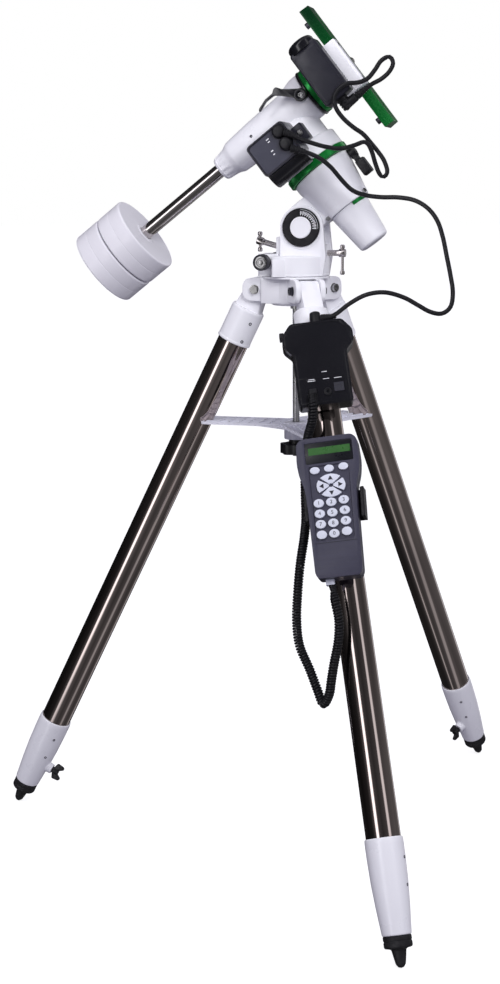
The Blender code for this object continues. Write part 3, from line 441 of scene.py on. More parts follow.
def socket_screw(radius, low, high):
    """A cap screw's head with its hexagon socket."""
    sink = 0.45 * (high - low)
    return lathe([(0.0, low), (radius, low), (radius, high), (0.52 * radius, high),
        (0.46 * radius, high - sink), (0.0, high - sink)], 0.0004, 36)


def new_object(name, bm, material, at=None):
    """An object at the origin, with its points' own coordinates kept for its finish."""
    kept = bm.verts.layers.float_vector.new("place")
    for vert in bm.verts:
        vert[kept] = vert.co
    if at is not None:
        bmesh.ops.transform(bm, matrix=at, verts=bm.verts)
    mesh = bpy.data.meshes.new(name)
    bm.to_mesh(mesh)
    bm.free()
    mesh.materials.append(material)
    made = bpy.data.objects.new(name, mesh)
    bpy.context.scene.collection.objects.link(made)
    return made


def put(name, bm, finish, body, at=None, nodes=(), cuts=(), soft=0.0, segments=3):
    """A finished piece: cut, its edges softened, riding on its body for its CAD nodes."""
    made = new_object(name, bm, LOOKS[finish], at)
    tools = []
    for k, (cutter, where) in enumerate(cuts):
        shape = new_object(f"{name}_cut{k}", cutter, LOOKS[finish], where)
        step = made.modifiers.new(f"cut{k}", "BOOLEAN")
        step.operation = "DIFFERENCE"
        step.solver = "EXACT"
        step.use_self = True
        step.object = shape
        tools.append(shape)
    if soft:
        step = made.modifiers.new("soft", "BEVEL")
        step.width = soft
        step.segments = segments
        step.limit_method = "ANGLE"
        step.angle_limit = BEVEL_FROM
        step.use_clamp_overlap = True
    if made.modifiers:
        bpy.context.view_layer.update()
        solved = made.evaluated_get(bpy.context.evaluated_depsgraph_get())
        mesh = bpy.data.meshes.new_from_object(solved)
        made.modifiers.clear()
        made.data = mesh
        for shape in tools:
            bpy.data.objects.remove(shape)
    made.data.shade_smooth()
    made.data.set_sharp_from_angle(angle=SHARP_FROM)
    if isinstance(body, str):
        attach(made, body)
    else:
        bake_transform(made)
    if nodes:
        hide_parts(*([nodes] if isinstance(nodes, str) else nodes))
    return made


# ---- cords ----

# routes from the tripod's axis at ground level, as in the CAD
MAIN_ROUTE = mm("18 -98.5 992, 27 -98.5 989.8, 39 -96.5 986, 52 -90 980, 66 -80 968, 80 -70 950, "
    "92 -63 937.5, 108 -59 931, 130 -58 928, 154 -58.5 927.5, 176 -60 923.5, 194 -62 913, "
    "207 -65 897, 215 -68 876, 221 -72 852, 227 -76 827, 231 -79 805, 229 -83 786, 218 -87 777, "
    "203 -91 779.5, 188 -95 788, 169 -99 798.5, 145 -103 805, 121 -106 802, 99 -106 790.5, "
    "81 -104 777, 70 -101.5 771.2, 60.2 -101.3 769.7")
DEC_ROUTE = mm("8.8 -98.5 1012.5, 16.5 -98.5 1010, 27 -98.3 1005.2, 43.4 -96 999, 62.2 -90 993.5, "
    "81.1 -84 991.3, 98 -78 995.5, 109.3 -75.5 999.5, 115.5 -74 996.5, 120 -71 986.5, "
    "124.2 -68 971.5, 129.2 -65.5 958.5, 135 -63.5 954.5, 139.2 -62.5 961.5, 134.5 -61.5 975.5, "
    "126.2 -61 987.2, 116.9 -62 998.4, 106.7 -65 1010.1, 94 -69 1019.2, 81.3 -73 1030.8, "
    "72.6 -76.5 1043.6, 70.1 -78 1056.4, 76.1 -78 1067.7, 87.2 -76.5 1074.5, 100.9 -72 1075.7, "
    "112.5 -66 1081, 121 -61 1091.8, 129 -57.5 1104, 139.5 -55.5 1108.5, 144 -54.5 1100, "
    "138.7 -54.5 1089.3, 128.2 -54.5 1080.5, 116 -54.5 1074.5, 106 -54.5 1067.6, 97.2 -54.5 1060.9")
CURLY_ROUTE = mm("61.3 -169 675.5, 64.5 -175 660, 62.8 -173.8 641, 56.5 -165 624, 51.4 -156.6 606, "
    "49.9 -158.9 576.6, 54 -174.5 540.3, 57.7 -187.7 511.8, 59.9 -207.8 490, 59.4 -225.4 463.5, "
    "59 -238 430, 59 -245 392, 63.5 -248 359, 77.5 -251 329, 89 -258 305.5, 98.5 -264 288, "
    "107.5 -269 303, 110.5 -271 321, 114 -271.5 344, 119.5 -271 375, 119.8 -269 401, "
    "115.2 -265 420, 111.2 -259 433, 108.2 -253.5 442")


def smooth_route(points, step):
    """Even points along a Catmull-Rom curve through the route's points, in the row frame."""
    knots = [TRIPOD @ Vector(p) for p in points]
    knots = [2 * knots[0] - knots[1]] + knots + [2 * knots[-1] - knots[-2]]
    dense = []
    for a, b, c, d in zip(knots, knots[1:], knots[2:], knots[3:]):
        for i in range(24):
            t = i / 24.0
            dense.append(0.5 * (2 * b + (c - a) * t + (2 * a - 5 * b + 4 * c - d) * t ** 2
                + (3 * b - a - 3 * c + d) * t ** 3))
    dense.append(knots[-2])
    total = sum((q - p).length for p, q in zip(dense, dense[1:]))
    count = max(2, round(total / step))
    even = [dense[0]]
    travelled = 0.0
    for p, q in zip(dense, dense[1:]):
        span = (q - p).length
        while travelled + span >= total * len(even) / count - 1e-9 and len(even) < count:
            even.append(p.lerp(q, (total * len(even) / count - travelled) / span))
        travelled += span
    return even + [dense[-1]]


def line_length(points):
    return sum((q - p).length for p, q in zip(points, points[1:]))


def side_frames(points):
    """Directions along the line, with two sides carried along it without twist."""
    ways = [(q - p).normalized() for p, q in zip(points, points[1:])]
    ways.append(ways[-1])
    side = ways[0].orthogonal().normalized()
    made = []
    for way in ways:
        side = (side - way * side.dot(way)).normalized()
        made.append((way, side, way.cross(side)))
    return made


def tube(points, radius, sides=12):
    bm = bmesh.new()
    rings = []
    for point, (_, u, v) in zip(points, side_frames(points)):
        rings.append([bm.verts.new(point + radius * (u * cos(2 * pi * k / sides) + v
            * sin(2 * pi * k / sides))) for k in range(sides)])
    for a, b in zip(rings, rings[1:]):
        for k in range(sides):
            bm.faces.new([a[k], a[(k + 1) % sides], b[(k + 1) % sides], b[k]])
    bm.faces.new(rings[0])
    bm.faces.new(rings[-1])
    bmesh.ops.recalc_face_normals(bm, faces=bm.faces)
    return bm


def helix(points, inner, pitch, taper, per_turn=16):
    """A coil round the line, which straightens over the taper at each end."""
    frames = side_frames(points)
    total = line_length(points)
    count = int(total / pitch * per_turn)
    step = line_length(points[:2])
    made = []
    for i in range(count + 1):
        at = total * i / count
        k = min(int(at / step), len(points) - 2)
        centre = points[k].lerp(points[k + 1], at / step - k)
        _, u, v = frames[k]
        _, u2, v2 = frames[k + 1]
        t = at / step - k
        u, v = u.lerp(u2, t), v.lerp(v2, t)
        near_end = min(at, total - at) / taper
        reach = inner * min(1.0, max(0.0, near_end)) ** 0.7
        angle = 2.0 * pi * i / per_turn
        made.append(centre + reach * (u * cos(angle) + v * sin(angle)))
    return made


def along(start, way):
    """A frame at start with +Z along way."""
    return Matrix.Translation(start) @ way.to_track_quat("Z", "Y").to_matrix().to_4x4()


def relief(length, wide, narrow, ribs=5):
    """A tapered strain relief with ring grooves, from z 0 to its length."""
    profile = [(0.0, 0.0), (wide, 0.0)]
    for k in range(ribs):
        here = length * (k + 0.55) / (ribs + 0.6)
        radius = wide + (narrow - wide) * here / length
        pitch = length / (ribs + 0.6)
        profile += [(radius, here), (0.86 * radius, here + 0.12 * pitch),
            (0.86 * radius, here + 0.32 * pitch), (radius, here + 0.44 * pitch)]
    profile += [(narrow, length), (0.0, length)]
    return lathe(profile, 0.0003, 32)


def make_cords():
    main, dec = smooth_route(MAIN_ROUTE, 0.004), smooth_route(DEC_ROUTE, 0.0035)
    coil_line = smooth_route(CURLY_ROUTE, 0.002)
    coil = helix(coil_line, COIL_R - CURLY_WIRE_R, CURLY_PITCH, 0.016)
    # radius, sides, stiffness, then the strain relief's length and two radii
    lead = (CABLE_R, 14, "medium", 0.02, 1.9 * CABLE_R, 1.06 * CABLE_R)
    wire = (CURLY_WIRE_R, 8, "stiff", 0.012, 0.0052, 0.003)
    # its line, its middle line, its kind, its CAD node, the two bodies that it bends between,
    # where the bend starts and ends, and the body at its far end
    plans = (
        ("main_cord", main, main, lead, "main_cable", "ra", "polar",
         mm("30 -97 988, 130 -58 928"), "leg_front"),
        ("dec_cord", dec, dec, lead, "dec_cable", "ra", "dec", mm("0 0 1015, 0 0 1060"), "dec"),
        ("curly_cord", coil, coil_line, wire, "curly_cable", "leg_front", "handset",
         mm("75 0 0, 106 0 0"), "handset"),
    )
    for name, points, middle, kind, node, first, second, bend, last in plans:
        radius, sides, stiffness, *boot = kind
        start, end = (TRIPOD @ Vector(place) for place in bend)
        piece = put(name, tube(points, radius, sides), "cord_rubber", (first, second, start, end),
            nodes=node)
        for side, (tip, inner, rider) in enumerate(((middle[0], middle[3], first),
                (middle[-1], middle[-4], last))):
            way = (inner - tip).normalized()
            put(f"{name}_boot{side}", relief(*boot), "matt_black", rider,
                along(tip - way * 0.001, way))


# ---- tripod ----

def make_head():
    parts = [lathe(mm("6 780, 32.5 780, 35.5 783, 36 786, 36 816.8, 47.5 817.2")
        + [(0.0475, HEAD_TOP), (0.006, HEAD_TOP)], 0.0012, 96)]
    side = mm("26 785.5, 64 785.5, 72.5 792.5, 72.5 807.5, 69 815, 62 818, 26 818")
    for azimuth in LEG_AZIMUTHS.values():
        for low, high in ((0.0143, 0.0213), (-0.0213, -0.0143)):
            parts.append((slab(side, low, high, "Y", 0.007), turn(azimuth, "Z")))
    parts.append((lathe([(0.0, 0.817), (0.0065, 0.817), (0.0065, HEAD_TOP), (0.004, HEAD_TOP),
        (0.004, 0.845), (0.0, 0.845)], 0.0004, 32), move(-0.038, 0.0, 0.0)))
    parts.append((block("-38.5 4, -35 -5, 783 817", 0.003), turn(-14.0, "Z")))
    put("head_casting", gather(*parts), "enamel", "tripod", TRIPOD, "tripod_head", soft=0.001)
    for name, azimuth in LEG_AZIMUTHS.items():
        finish = "dark_bolt" if name == "front" else "zinc"
        at = LEGS[name] @ ALONG_Y
        bolt = gather(lathe("0 -21.6, 6.6 -21.6, 6.6 -22.4, 0 -22.4", 0.0002, 40),
            (socket_screw(0.0056, 0.0224, 0.0268), turn(180.0, "X")),
            lathe("0 21.6, 6.6 21.6, 6.6 22.4, 0 22.4", 0.0002, 40),
            hexagon(0.01, 0.0224, 0.0262), rod(0.004, -0.022, 0.022))
        put(f"hinge_bolt_{name}", bolt, finish, "tripod", at, f"leg_hinge_bolt_{name}")
    thread = [(0.0, 0.565)]
    turns = 70
    for k in range(turns):
        low = 0.565 + k * 0.0029
        thread += [(0.0046, low), (0.005, low + 0.001), (0.005, low + 0.0016),
            (0.0046, low + 0.0026)]
    thread += mm("5 774.5, 7.8 774.7, 7.8 779.8, 5 780, 5 833, 0 833")
    put("threaded_rod", lathe(thread, 0.0003, 32), "zinc", "tripod", TRIPOD, "centre_rod")


def make_tray():
    """Clear ribbed tray: thin floor, raised rim and a lattice of ribs."""
    outline, ribs = [], []
    for azimuth in sorted(LEG_AZIMUTHS.values()):
        out = Vector((cos(radians(azimuth)), sin(radians(azimuth))))
        side = Vector((-out.y, out.x))
        for reach, half in mm("48 -30, 133 -29, 133 29, 48 30"):
            point = out * reach + side * half
            outline.append((point.x, point.y))
        spin = turn(azimuth, "Z")
        for across in (-0.0289, -0.0145, 0.0, 0.0145, 0.0275):
            ribs.append((block((0.015, 0.1322), (across, across + 0.0014), (0.0008, 0.004)), spin))
        for reach in (0.033, 0.048, 0.063, 0.078, 0.093, 0.108, 0.131):
            ribs.append((block((reach, reach + 0.0013), (-0.0285, 0.0285), (0.0008, 0.004)), spin))
        ribs.append((lathe("0 0.6, 9 0.6, 9 3.9, 7.6 3.9, 7.6 1.4, 0 1.4", 0.0003, 40),
            spin @ move(0.0555, 0.0, 0.0)))
    floor = slab(outline, 0.0, 0.0013, "Z", 0.004)
    hub = lathe("5.5 -20.5, 16.5 -20.5, 17 -19.5, 17 3, 13 3.6, 5.5 3.6", 0.0008, 60)
    at = TRIPOD @ move(0.0, 0.0, 0.6105)
    cuts = []
    for leg in LEGS.values():
        cuts.append((rod(TUBE_R + 0.001, -0.4, -0.05, 64), leg))
    put("clear_tray", gather(floor, hub, *ribs), "tray_clear", "tray", at, "spreader_tray", cuts)
    lobes = []
    for i in range(96):
        angle = 2.0 * pi * i / 96
        reach = 0.0214 + 0.0017 * cos(6.0 * angle)
        lobes.append((reach * cos(angle), reach * sin(angle)))
    knob = gather(slab(lobes, -0.0415, -0.0275), rod(0.0105, -0.03, -0.0209, 48),
        lathe("5.6 -42.5, 12 -42.5, 13.5 -40, 5.6 -40", 0.0006, 48))
    put("tray_knob_lobed", knob, "matt_black", "tray_knob", at, "spreader_knob", soft=0.0022,
        segments=4)


def make_leg(name):
    leg, body = LEGS[name], f"leg_{name}"
    cup = mm("0 -30.2, 22.2 -30.2, 24 -32.5, 24 -78, 24.6 -78.8, 24.6 -81.5, "
        "24 -82.2") + [(TUBE_FIT, -0.0822), (TUBE_FIT, -0.038), (0.0, -0.038)]
    tongue = [around(0.014, 6.0 * k) for k in range(31)] + [(-0.019, -0.034), (0.019, -0.034)]
    put(f"collar_{name}", gather(lathe(cup, 0.0012, 96), slab(tongue, -0.0139, 0.0139, "Y")),
        "enamel", body, leg, f"leg_collar_{name}", soft=0.0012)
    put(f"tube_{name}", lathe([(0.0209, -0.783), (TUBE_R, -0.783), (TUBE_R, -0.0385),
        (0.0209, -0.0385)], 0.0003, 128), "polished_steel", body, leg, f"leg_tube_{name}")
    sleeve = mm("16.8 -854.4, 18 -854.4, 18.6 -853, 21.6 -820, 23.6 -790, 24.4 -760, 24.5 -742, "
        "24.1 -737.5, 23.2 -736.5") + [(TUBE_FIT, -0.7365), (TUBE_FIT, -0.784), (0.0168, -0.784)]
    clamp = move(0.0, 0.0, -0.817) @ TO_MINUS_X
    boss = lathe("3.6 19, 9.4 19, 7.8 23.5, 7.6 29, 3.6 29", 0.0006, 48)
    put(f"sleeve_{name}", gather(lathe(sleeve, 0.0014, 96), (boss, clamp)), "enamel", body, leg,
        f"leg_socket_{name}")
    screws = []
    for side in (turn(SCREW_TURN[name], "Z") @ TO_NEAR, turn(SCREW_TURN[name], "Z") @ ALONG_Y):
        for s, radius, out in mm("46.8 2.3 24, 74.8 2.3 24, 762.5 2 24.3, 796 2 23.1"):
            screws.append((socket_screw(radius, out - 0.001, out + 0.0006),
                move(0.0, 0.0, -s) @ side))
    put(f"leg_screws_{name}", gather(*screws), "dark_bolt", body, leg)
    inner = mm("0 -850, 15 -850, 15 -320, 16.5 -320, 16.5 -854.7, 17.4 -854.7, 18 -856, 18 -860, "
        "17.4 -860.6, 17.4 -862.2, 18 -862.8, 18 -867.6, 17 -869.4, 11 -870.6, 9.4 -872, 8 -880, "
        "6.4 -888, 6 -889.2, 3.5 -892.5, 0 -893.4")
    put(f"foot_{name}_rubber", lathe(inner, 0.0006, 72), "rubber_black", f"foot_{name}", leg,
        f"leg_extension_{name}")
    half = mm("3.4 30.2, 12.4 33.4, 13.2 35, 12.2 44, 10.4 46.2, 8 46.4, 6 44, 3.6 40.2")
    wing = [(-x, z) for x, z in half] + [(x, z) for x, z in reversed(half)]
    screw = gather(slab(wing, -0.0021, 0.0021, "Y", 0.0014), rod(0.0046, 0.0292, 0.04, 32),
        rod(0.003, 0.0168, 0.033, 24))
    put(f"wing_screw_{name}", screw, "matt_black", f"clamp_{name}", leg @ clamp,
        f"leg_clamp_screw_{name}", soft=0.0008)


# ---- head ----

def make_azimuth():
    pivot = (0.0135, 0.8875)
    low = HEAD_TOP + 0.0004
    disc = lathe([(0.0055, low), (0.0465, low), (0.0475, low + 0.001)]
        + mm("47.5 824, 47 824.6, 47.5 825.2, 47.5 847.4, 45.8 849, 5.5 849"), 0.0009, 120)
    cheek = [around(0.03, 5.0 * k, *pivot) for k in range(37)]
    cheek += mm("-16.5 860, -16.5 821.2, 43 821.2, 47.5 849")
    parts = [disc, block((-0.0498, -0.02), (-0.0215, 0.0215), (low, 0.851), 0.003)]
    for side in (1.0, -1.0):
        edges = sorted((side * 0.017, side * 0.025))
        parts.append(slab(cheek, edges[0], edges[1], "Y"))
        rim = lathe("26.4 0, 29.8 0, 29.8 1.2, 26.4 1.2", 0.0006, 72)
        parts.append((rim, move(pivot[0], side * 0.0246, pivot[1])
            @ (TO_NEAR if side < 0 else ALONG_Y)))
    parts.append(block("36.5 45, -17.2 17.2, 844 864"))
    parts.append(block((-0.0236, -0.003), (-0.0478, -0.025), (low, 0.8448), 0.003))
    parts.append(block("-24.5 -8.5, -17.2 17.2, 844 874", 0.002))
    cuts = [(block("-60 -30.5, -9.5 9.5, 810 860"), TRIPOD)]
    for edges in ((-0.06, -0.0217), (0.0217, 0.06)):
        cuts.append((block((-0.06, -0.0255), edges, (0.81, 0.86)), TRIPOD))
    put("azimuth_casting", gather(*parts), "enamel", "azimuth", TRIPOD, "azimuth_base", cuts,
        soft=0.0012)
    at = LATITUDE @ ALONG_Y
    ring = lathe("14 -29.2, 25 -29.2, 25.8 -28.6, 26.2 -27.8, 26.2 -25.6, 25.2 -25, 14 -25",
        0.0005, 120, 60, 0.0003, (-0.0282, -0.0262))
    put("latitude_dial", gather(ring, rod(0.008, -0.026, 0.0253, 48)), "dial_black", "azimuth", at,
        "latitude_axle")
    cap = lathe("0 -30.8, 12 -30.8, 12.8 -31.2, 14.2 -31, 14.7 -30.3, 14.7 -26.2, 0 -26.2",
        0.0005, 96)
    far = lathe("0 25, 12 25, 12 31, 11 32, 6 32, 5.4 30.6, 0 30.6", 0.0006, 72)
    put("dial_cap", gather(cap, far), "enamel", "azimuth", at)
    ticks = [slab(arc_band(0.0244, 0.024, range(-90, 5, 2)), -0.0294, -0.0288)]
    for k in range(19):
        half = 0.00036 if k % 2 else 0.0005
        inner = 0.0186 if k % 2 else 0.0168
        ticks.append((block((inner, 0.0222), (-half, half), (-0.0294, -0.0288)),
            turn(-90.0 + 5.2 * k, "Z")))
    put("dial_ticks", gather(*ticks), "mark_white", "azimuth", at)
    for name, side in (("near", TO_NEAR), ("far", ALONG_Y)):
        at = TRIPOD @ move(-0.038, 0.0, 0.8405) @ side
        knob = lathe("0 4.6, 3 4.6, 3 27.4, 9 27.6, 9.4 29, 9.4 34, 10.8 35.2, 11.2 36.4, "
            "11.2 50, 10.4 51.2, 9.4 51.2, 8.8 50, 0 50", 0.0004, 150, 30, 0.0005,
            (0.0366, 0.0497))
        put(f"azimuth_knob_{name}_body", knob, "knob_metal", f"knob_{name}", at,
            f"azimuth_knob_{name}")
        face = lathe("0 49.8, 8.4 49.8, 8.4 50.8, 6 51.1, 5.6 50.5, 3.4 50.5, 3 51.8, 0 52",
            0.0003, 60)
        put(f"azimuth_knob_{name}_face", face, "zinc", f"knob_{name}", at)


def make_latitude_bolt(name, tip, way, length, up, down):
    thread = mm("0 0, 1.5 0, 3.8 3.5")
    pitch = 0.0012
    for k in range(int((length - 0.015) / pitch)):
        low = 0.004 + k * pitch
        thread += [(0.0038, low), (0.0042, low + 0.5 * pitch)]
    thread += [(0.0042, length - 0.0098), (0.0056, length - 0.009), (0.0056, length - 0.0006),
        (0.005, length), (0.0, length)]
    at = TRIPOD @ move(tip[0], 0.0, tip[1]) @ way
    bar = [(0.0, -down), (0.0022, -down), (0.0034, -down + 0.0012), (0.0034, -down + 0.0042),
        (0.0026, -down + 0.0058), (0.002, -down + 0.0062), (0.002, up - 0.0062),
        (0.0026, up - 0.0058), (0.0034, up - 0.0042), (0.0034, up - 0.0012), (0.0022, up),
        (0.0, up)]
    centre = at @ Vector((0.0, 0.0, length - 0.0045))
    bar_at = at.inverted() @ Matrix.Translation(centre)
    put(f"t_bolt_{name}", gather(lathe(thread, 0.0002, 32), (lathe(bar, 0.0008, 36), bar_at)),
        "chrome_bar", f"bolt_{name}", at, f"latitude_bolt_{name}")


def make_polar():
    tube_profile = mm("14.5 -160, 25.5 -160, 25.5 -153, 32.6 -153, 33.6 -152, 34.6 -144, "
        "38.4 -125, 42.4 -102, 43.2 -98, 43.2 -89.5, 42.2 -88.5, 29.5 -88.5, 29.5 -73.5, 20 -73.5, "
        "20 -59, 14.5 -59")
    half = 0.0166
    to_latitude = POLAR.inverted() @ LATITUDE
    body = gather(lathe(tube_profile, 0.0014, 120), block((-0.062, -0.02), (-half, half),
        (-0.152, -0.105)), (rod(0.024, -half, half, 72, 0.0015), to_latitude @ ALONG_Y),
        (block((-0.006, 0.006), (-half, half), (-0.045, 0.0)), to_latitude),
        (rod(0.004, 0.038, 0.05), move(0.0, 0.0, -0.098) @ ALONG_X))
    put("polar_casting", body, "enamel", "polar", POLAR, "polar_housing", soft=0.0016)
    for k, angle in enumerate((-24.0, 96.0, 216.0)):
        at = POLAR @ turn(angle, "Z") @ move(0.0345, 0.0, -0.15) @ ALONG_X
        put(f"polar_screw_{k}", socket_screw(0.003, -0.001, 0.0034), "zinc", "polar", at)
    spot = arc_band(0.0298, 0.0262, range(-66, -11, 3))
    put("polar_green_mark", slab(spot, -0.158, -0.1528), "green_metal", "polar", POLAR)
    cup = mm("0 -213.7, 12 -213.7, 18.5 -213.4, 21.4 -211.6, 22.2 -209.2, 28.3 -157, 28.5 -154.5, "
        "28.2 -153.3, 25.8 -153.3, 25.8 -161, 19.8 -208, 0 -208")
    put("polar_cap_cup", lathe(cup, 0.0012, 120), "enamel", "cap", POLAR, "polar_cap")
    ring = lathe("30 -88, 47 -88, 47.8 -87.2, 47.8 -78, 47 -77.2, 30 -77.2", 0.0005, 144)
    put("ra_circle_ring", ring, "green_metal", "ra_circle", POLAR, "ra_setting_circle")
    ticks = circle_ticks(144, (0.0474, 0.04788), 0.00016, -0.0872, 0.004, 0.0022)
    ticks.append((rod(0.0014, 0.047, 0.0479, 20),
        move(0.0, 0.0, -0.0805) @ turn(-72.0, "Z") @ ALONG_X))
    put("ra_circle_ticks", gather(*ticks), "mark_dark", "ra_circle", POLAR)
    handle = mm("5 6.2, -10 5.6, -15 8.2, -34 9.4, -36.2 7, -36.2 -7, -34 -9.4, -15 -8.2, "
        "-10 -5.6, 5 -6.2")
    at = POLAR @ move(0.0, 0.0, -0.098) @ ALONG_X @ turn(180.0, "Z")
    grip = mm("-13 7.2, -16 8.4, -34 9.4, -36.2 7, -36.2 -7, -34 -9.4, -16 -8.4, -13 -7.2")
    lever = gather(slab(handle, 0.0453, 0.0528, "Z", 0.0024), rod(0.0078, 0.0437, 0.0538, 48),
        slab(grip, 0.0441, 0.0572, "Z", 0.0024))
    put("ra_lever_handle", lever, "matt_black", "ra_lever", at, "ra_clutch_lever", soft=0.0012)
    put("ra_lever_screw", socket_screw(0.0032, 0.053, 0.055), "zinc", "ra_lever", at)


# ---- right ascension side ----

def make_ra():
    tube_profile = mm("10.1 -112.5, 15.2 -112.5, 16.2 -111.5, 17.6 -109, 18.6 -101, 19.8 -93, "
        "23.6 -85, 24.4 -76, 26.2 -40, 26.8 0, 27.2 15, 29 23, 32.6 37, 33 40, 33 50.3, 19.5 50.3, "
        "19.5 64, 16 64, 16 77, 12.4 77, 12.4 -96, 10.1 -99")
    stub = mm("40.5 -76.8, 45.4 -76.8, 46 -76, 46 -56, 44.5 -53.8, 40 -53, 40 -30, 36.2 -22.2, "
        "29 -16, 15 -16, 15 -57, 40.5 -57")
    nose = lathe(tube_profile, 0.0022, 144, 12, 0.0014, (-0.1082, -0.096))
    post = (rod(0.004, 0.029, 0.042), move(0.0452, 0.0, 0.0005) @ TO_NEAR)
    corner = (block("-20 20, -20 20, -13 13", 0.006), move(-0.036, -0.01, -0.038))
    body = gather((nose, ALONG_X), lathe(stub, 0.0018, 144), post, corner)
    put("dec_casting", body, "enamel", "ra", POLAR, "dec_housing", soft=0.0012)
    pit = lathe("0 0, 1.9 0, 1.9 1.2, 1.1 1.3, 0.9 0.5, 0 0.5", 0.0002, 32)
    put("dec_casting_pit", pit, "dark_bolt", "ra", POLAR @ move(-0.045, -0.0252, 0.004) @ TO_NEAR)
    half = mm("-49 -66, 12.5 -66, 12.5 -17, -49 -17")
    shell = slab(half, -0.0925, -0.0465, "Y", 0.0065)
    rim = slab(half, -0.094, -0.0915, "Y", 0.0065)
    well = slab("-46.2 -63.2, 9.7 -63.2, 9.7 -19.8, -46.2 -19.8", -0.095, -0.0926, "Y", 0.005)
    face = slab("-45.8 -62.8, 9.3 -62.8, 9.3 -20.2, -45.8 -20.2", -0.0927, -0.0922, "Y", 0.0048)
    put("ra_motor_face", face, "motor_face", "ra", POLAR)
    put("ra_motor_case", gather(shell, rim), "motor_plastic", "ra", POLAR, "ra_motor_box",
        [(well, POLAR)], soft=0.0012)
    barrel = lathe("0 -47.8, 17.6 -47.8, 19 -46.4, 19 9.9, 17.6 11.3, 0 11.3", 0.002, 96)
    bands = [lathe([(0.0186, at), (0.0193, at + 0.0004), (0.0193, at + 0.0016),
        (0.0186, at + 0.002)], 0.0003, 96) for at in (-0.042, 0.003)]
    put("ra_motor_barrel", gather(barrel, *bands), "gloss_black", "ra",
        POLAR @ move(0.0, -0.069, -0.064) @ ALONG_X)
    second = block("10 26.5, -70 -48, -56 -31", 0.003)
    put("ra_motor_side_box", second, "motor_plastic", "ra", POLAR, soft=0.0016)
    side_screw = gather(lathe("0 0, 4 0, 4 1.6, 3 2.2, 0 2.2", 0.0003, 36),
        block("-3.4 3.4, -0.5 0.5, 1.8 2.4"))
    put("ra_motor_screw", side_screw, "zinc", "ra", POLAR @ move(0.0185, -0.07, -0.043) @ TO_NEAR)
    domes = []
    for x, z in ((0.0012, -0.0278), (-0.0004, -0.0462)):
        domes.append((lathe("0 90, 9.8 90, 9.8 93.8, 9 94.8, 8.6 99.2, 7 101.5, 4 102.2, "
            "0 102.2", 0.0014, 56), move(x, 0.0, z) @ TO_NEAR))
    put("ra_motor_plugs", gather(*domes), "matt_black", "ra", POLAR)
    dashes = []
    for x, z, wide in mm("-17.5 -26.2 2.2, -17.8 -30 1.6, -21.5 -42 1.8, -21.8 -47 1.3"):
        dashes.append((block((-wide, wide), (-0.0007, 0.0007), (0.0924, 0.0928)),
            move(x, 0.0, z) @ TO_NEAR))
    put("ra_motor_marks", gather(*dashes), "mark_white", "ra", POLAR)
    shaft = mm("0 -348, 11.8 -348, 13 -346.8, 13 -340, 9.8 -339.8, 9.8 -100, 0 -100")
    put("weight_bar", lathe(shaft, 0.0006, 96), "chrome_bar", "ra", DEC, "counterweight_shaft")
    radius, edge = 0.0572, 0.0026
    for name, low, high in (("inner", -0.2965, -0.255), ("outer", -0.3385, -0.297)):
        middle = 0.5 * (low + high)
        profile = [(0.0103, low), (0.015, low), (0.0165, low + 0.001),
            (radius - edge, low + 0.0004), (radius - 0.0005, low + 0.5 * edge),
            (radius, low + edge), (radius, middle - 0.0006), (radius - 0.0004, middle),
            (radius, middle + 0.0006), (radius, high - edge),
            (radius - 0.0005, high - 0.5 * edge), (radius - edge, high - 0.0004),
            (0.0165, high - 0.001), (0.015, high), (0.0103, high)]
        put(f"weight_{name}_body", lathe(profile, 0.0008, 160), "weight_enamel", f"weight_{name}",
            DEC, f"counterweight_{name}")
        knob = lathe("0 10.1, 3.3 10.1, 3.3 58.2, 7 58.4, 8 60, 8 70.6, 6.8 72.7, 0 72.7",
            0.0006, 144, 24, 0.0006, (0.0604, 0.0704))
        at = POLAR @ move(middle, 0.0, 0.0) @ ALONG_Y
        put(f"weight_{name}_lock", knob, "matt_black", f"lock_{name}", at,
            f"counterweight_screw_{name}")
    at = POLAR @ move(0.0452, 0.0, 0.0005) @ TO_NEAR
    hub = lathe("4.2 35.2, 8.8 35.2, 9 36, 9 44.8, 8.2 45.5, 5 45.5, 4.6 44, 4.2 44", 0.0005,
        60)
    outline = mm("4 7.5, -8 16.5, -16 22.8, -20.8 30.2, -25.6 29.2, -29 26.2, -42 26.2, -56 21.8, "
        "-58.5 19, -57 17.2, -43 22.6, -29 22.2, -22.5 16.5, -10.5 4, -4 -6.5")
    tail = slab(outline, 0.0371, 0.0429, "Z", 0.0022)
    put("dec_lever_tail", gather(hub, tail), "gloss_black", "dec_lever", at, "dec_clutch_lever",
        soft=0.001)
    put("dec_lever_screw", socket_screw(0.003, 0.042, 0.0447), "zinc", "dec_lever", at)


# ---- declination side ----

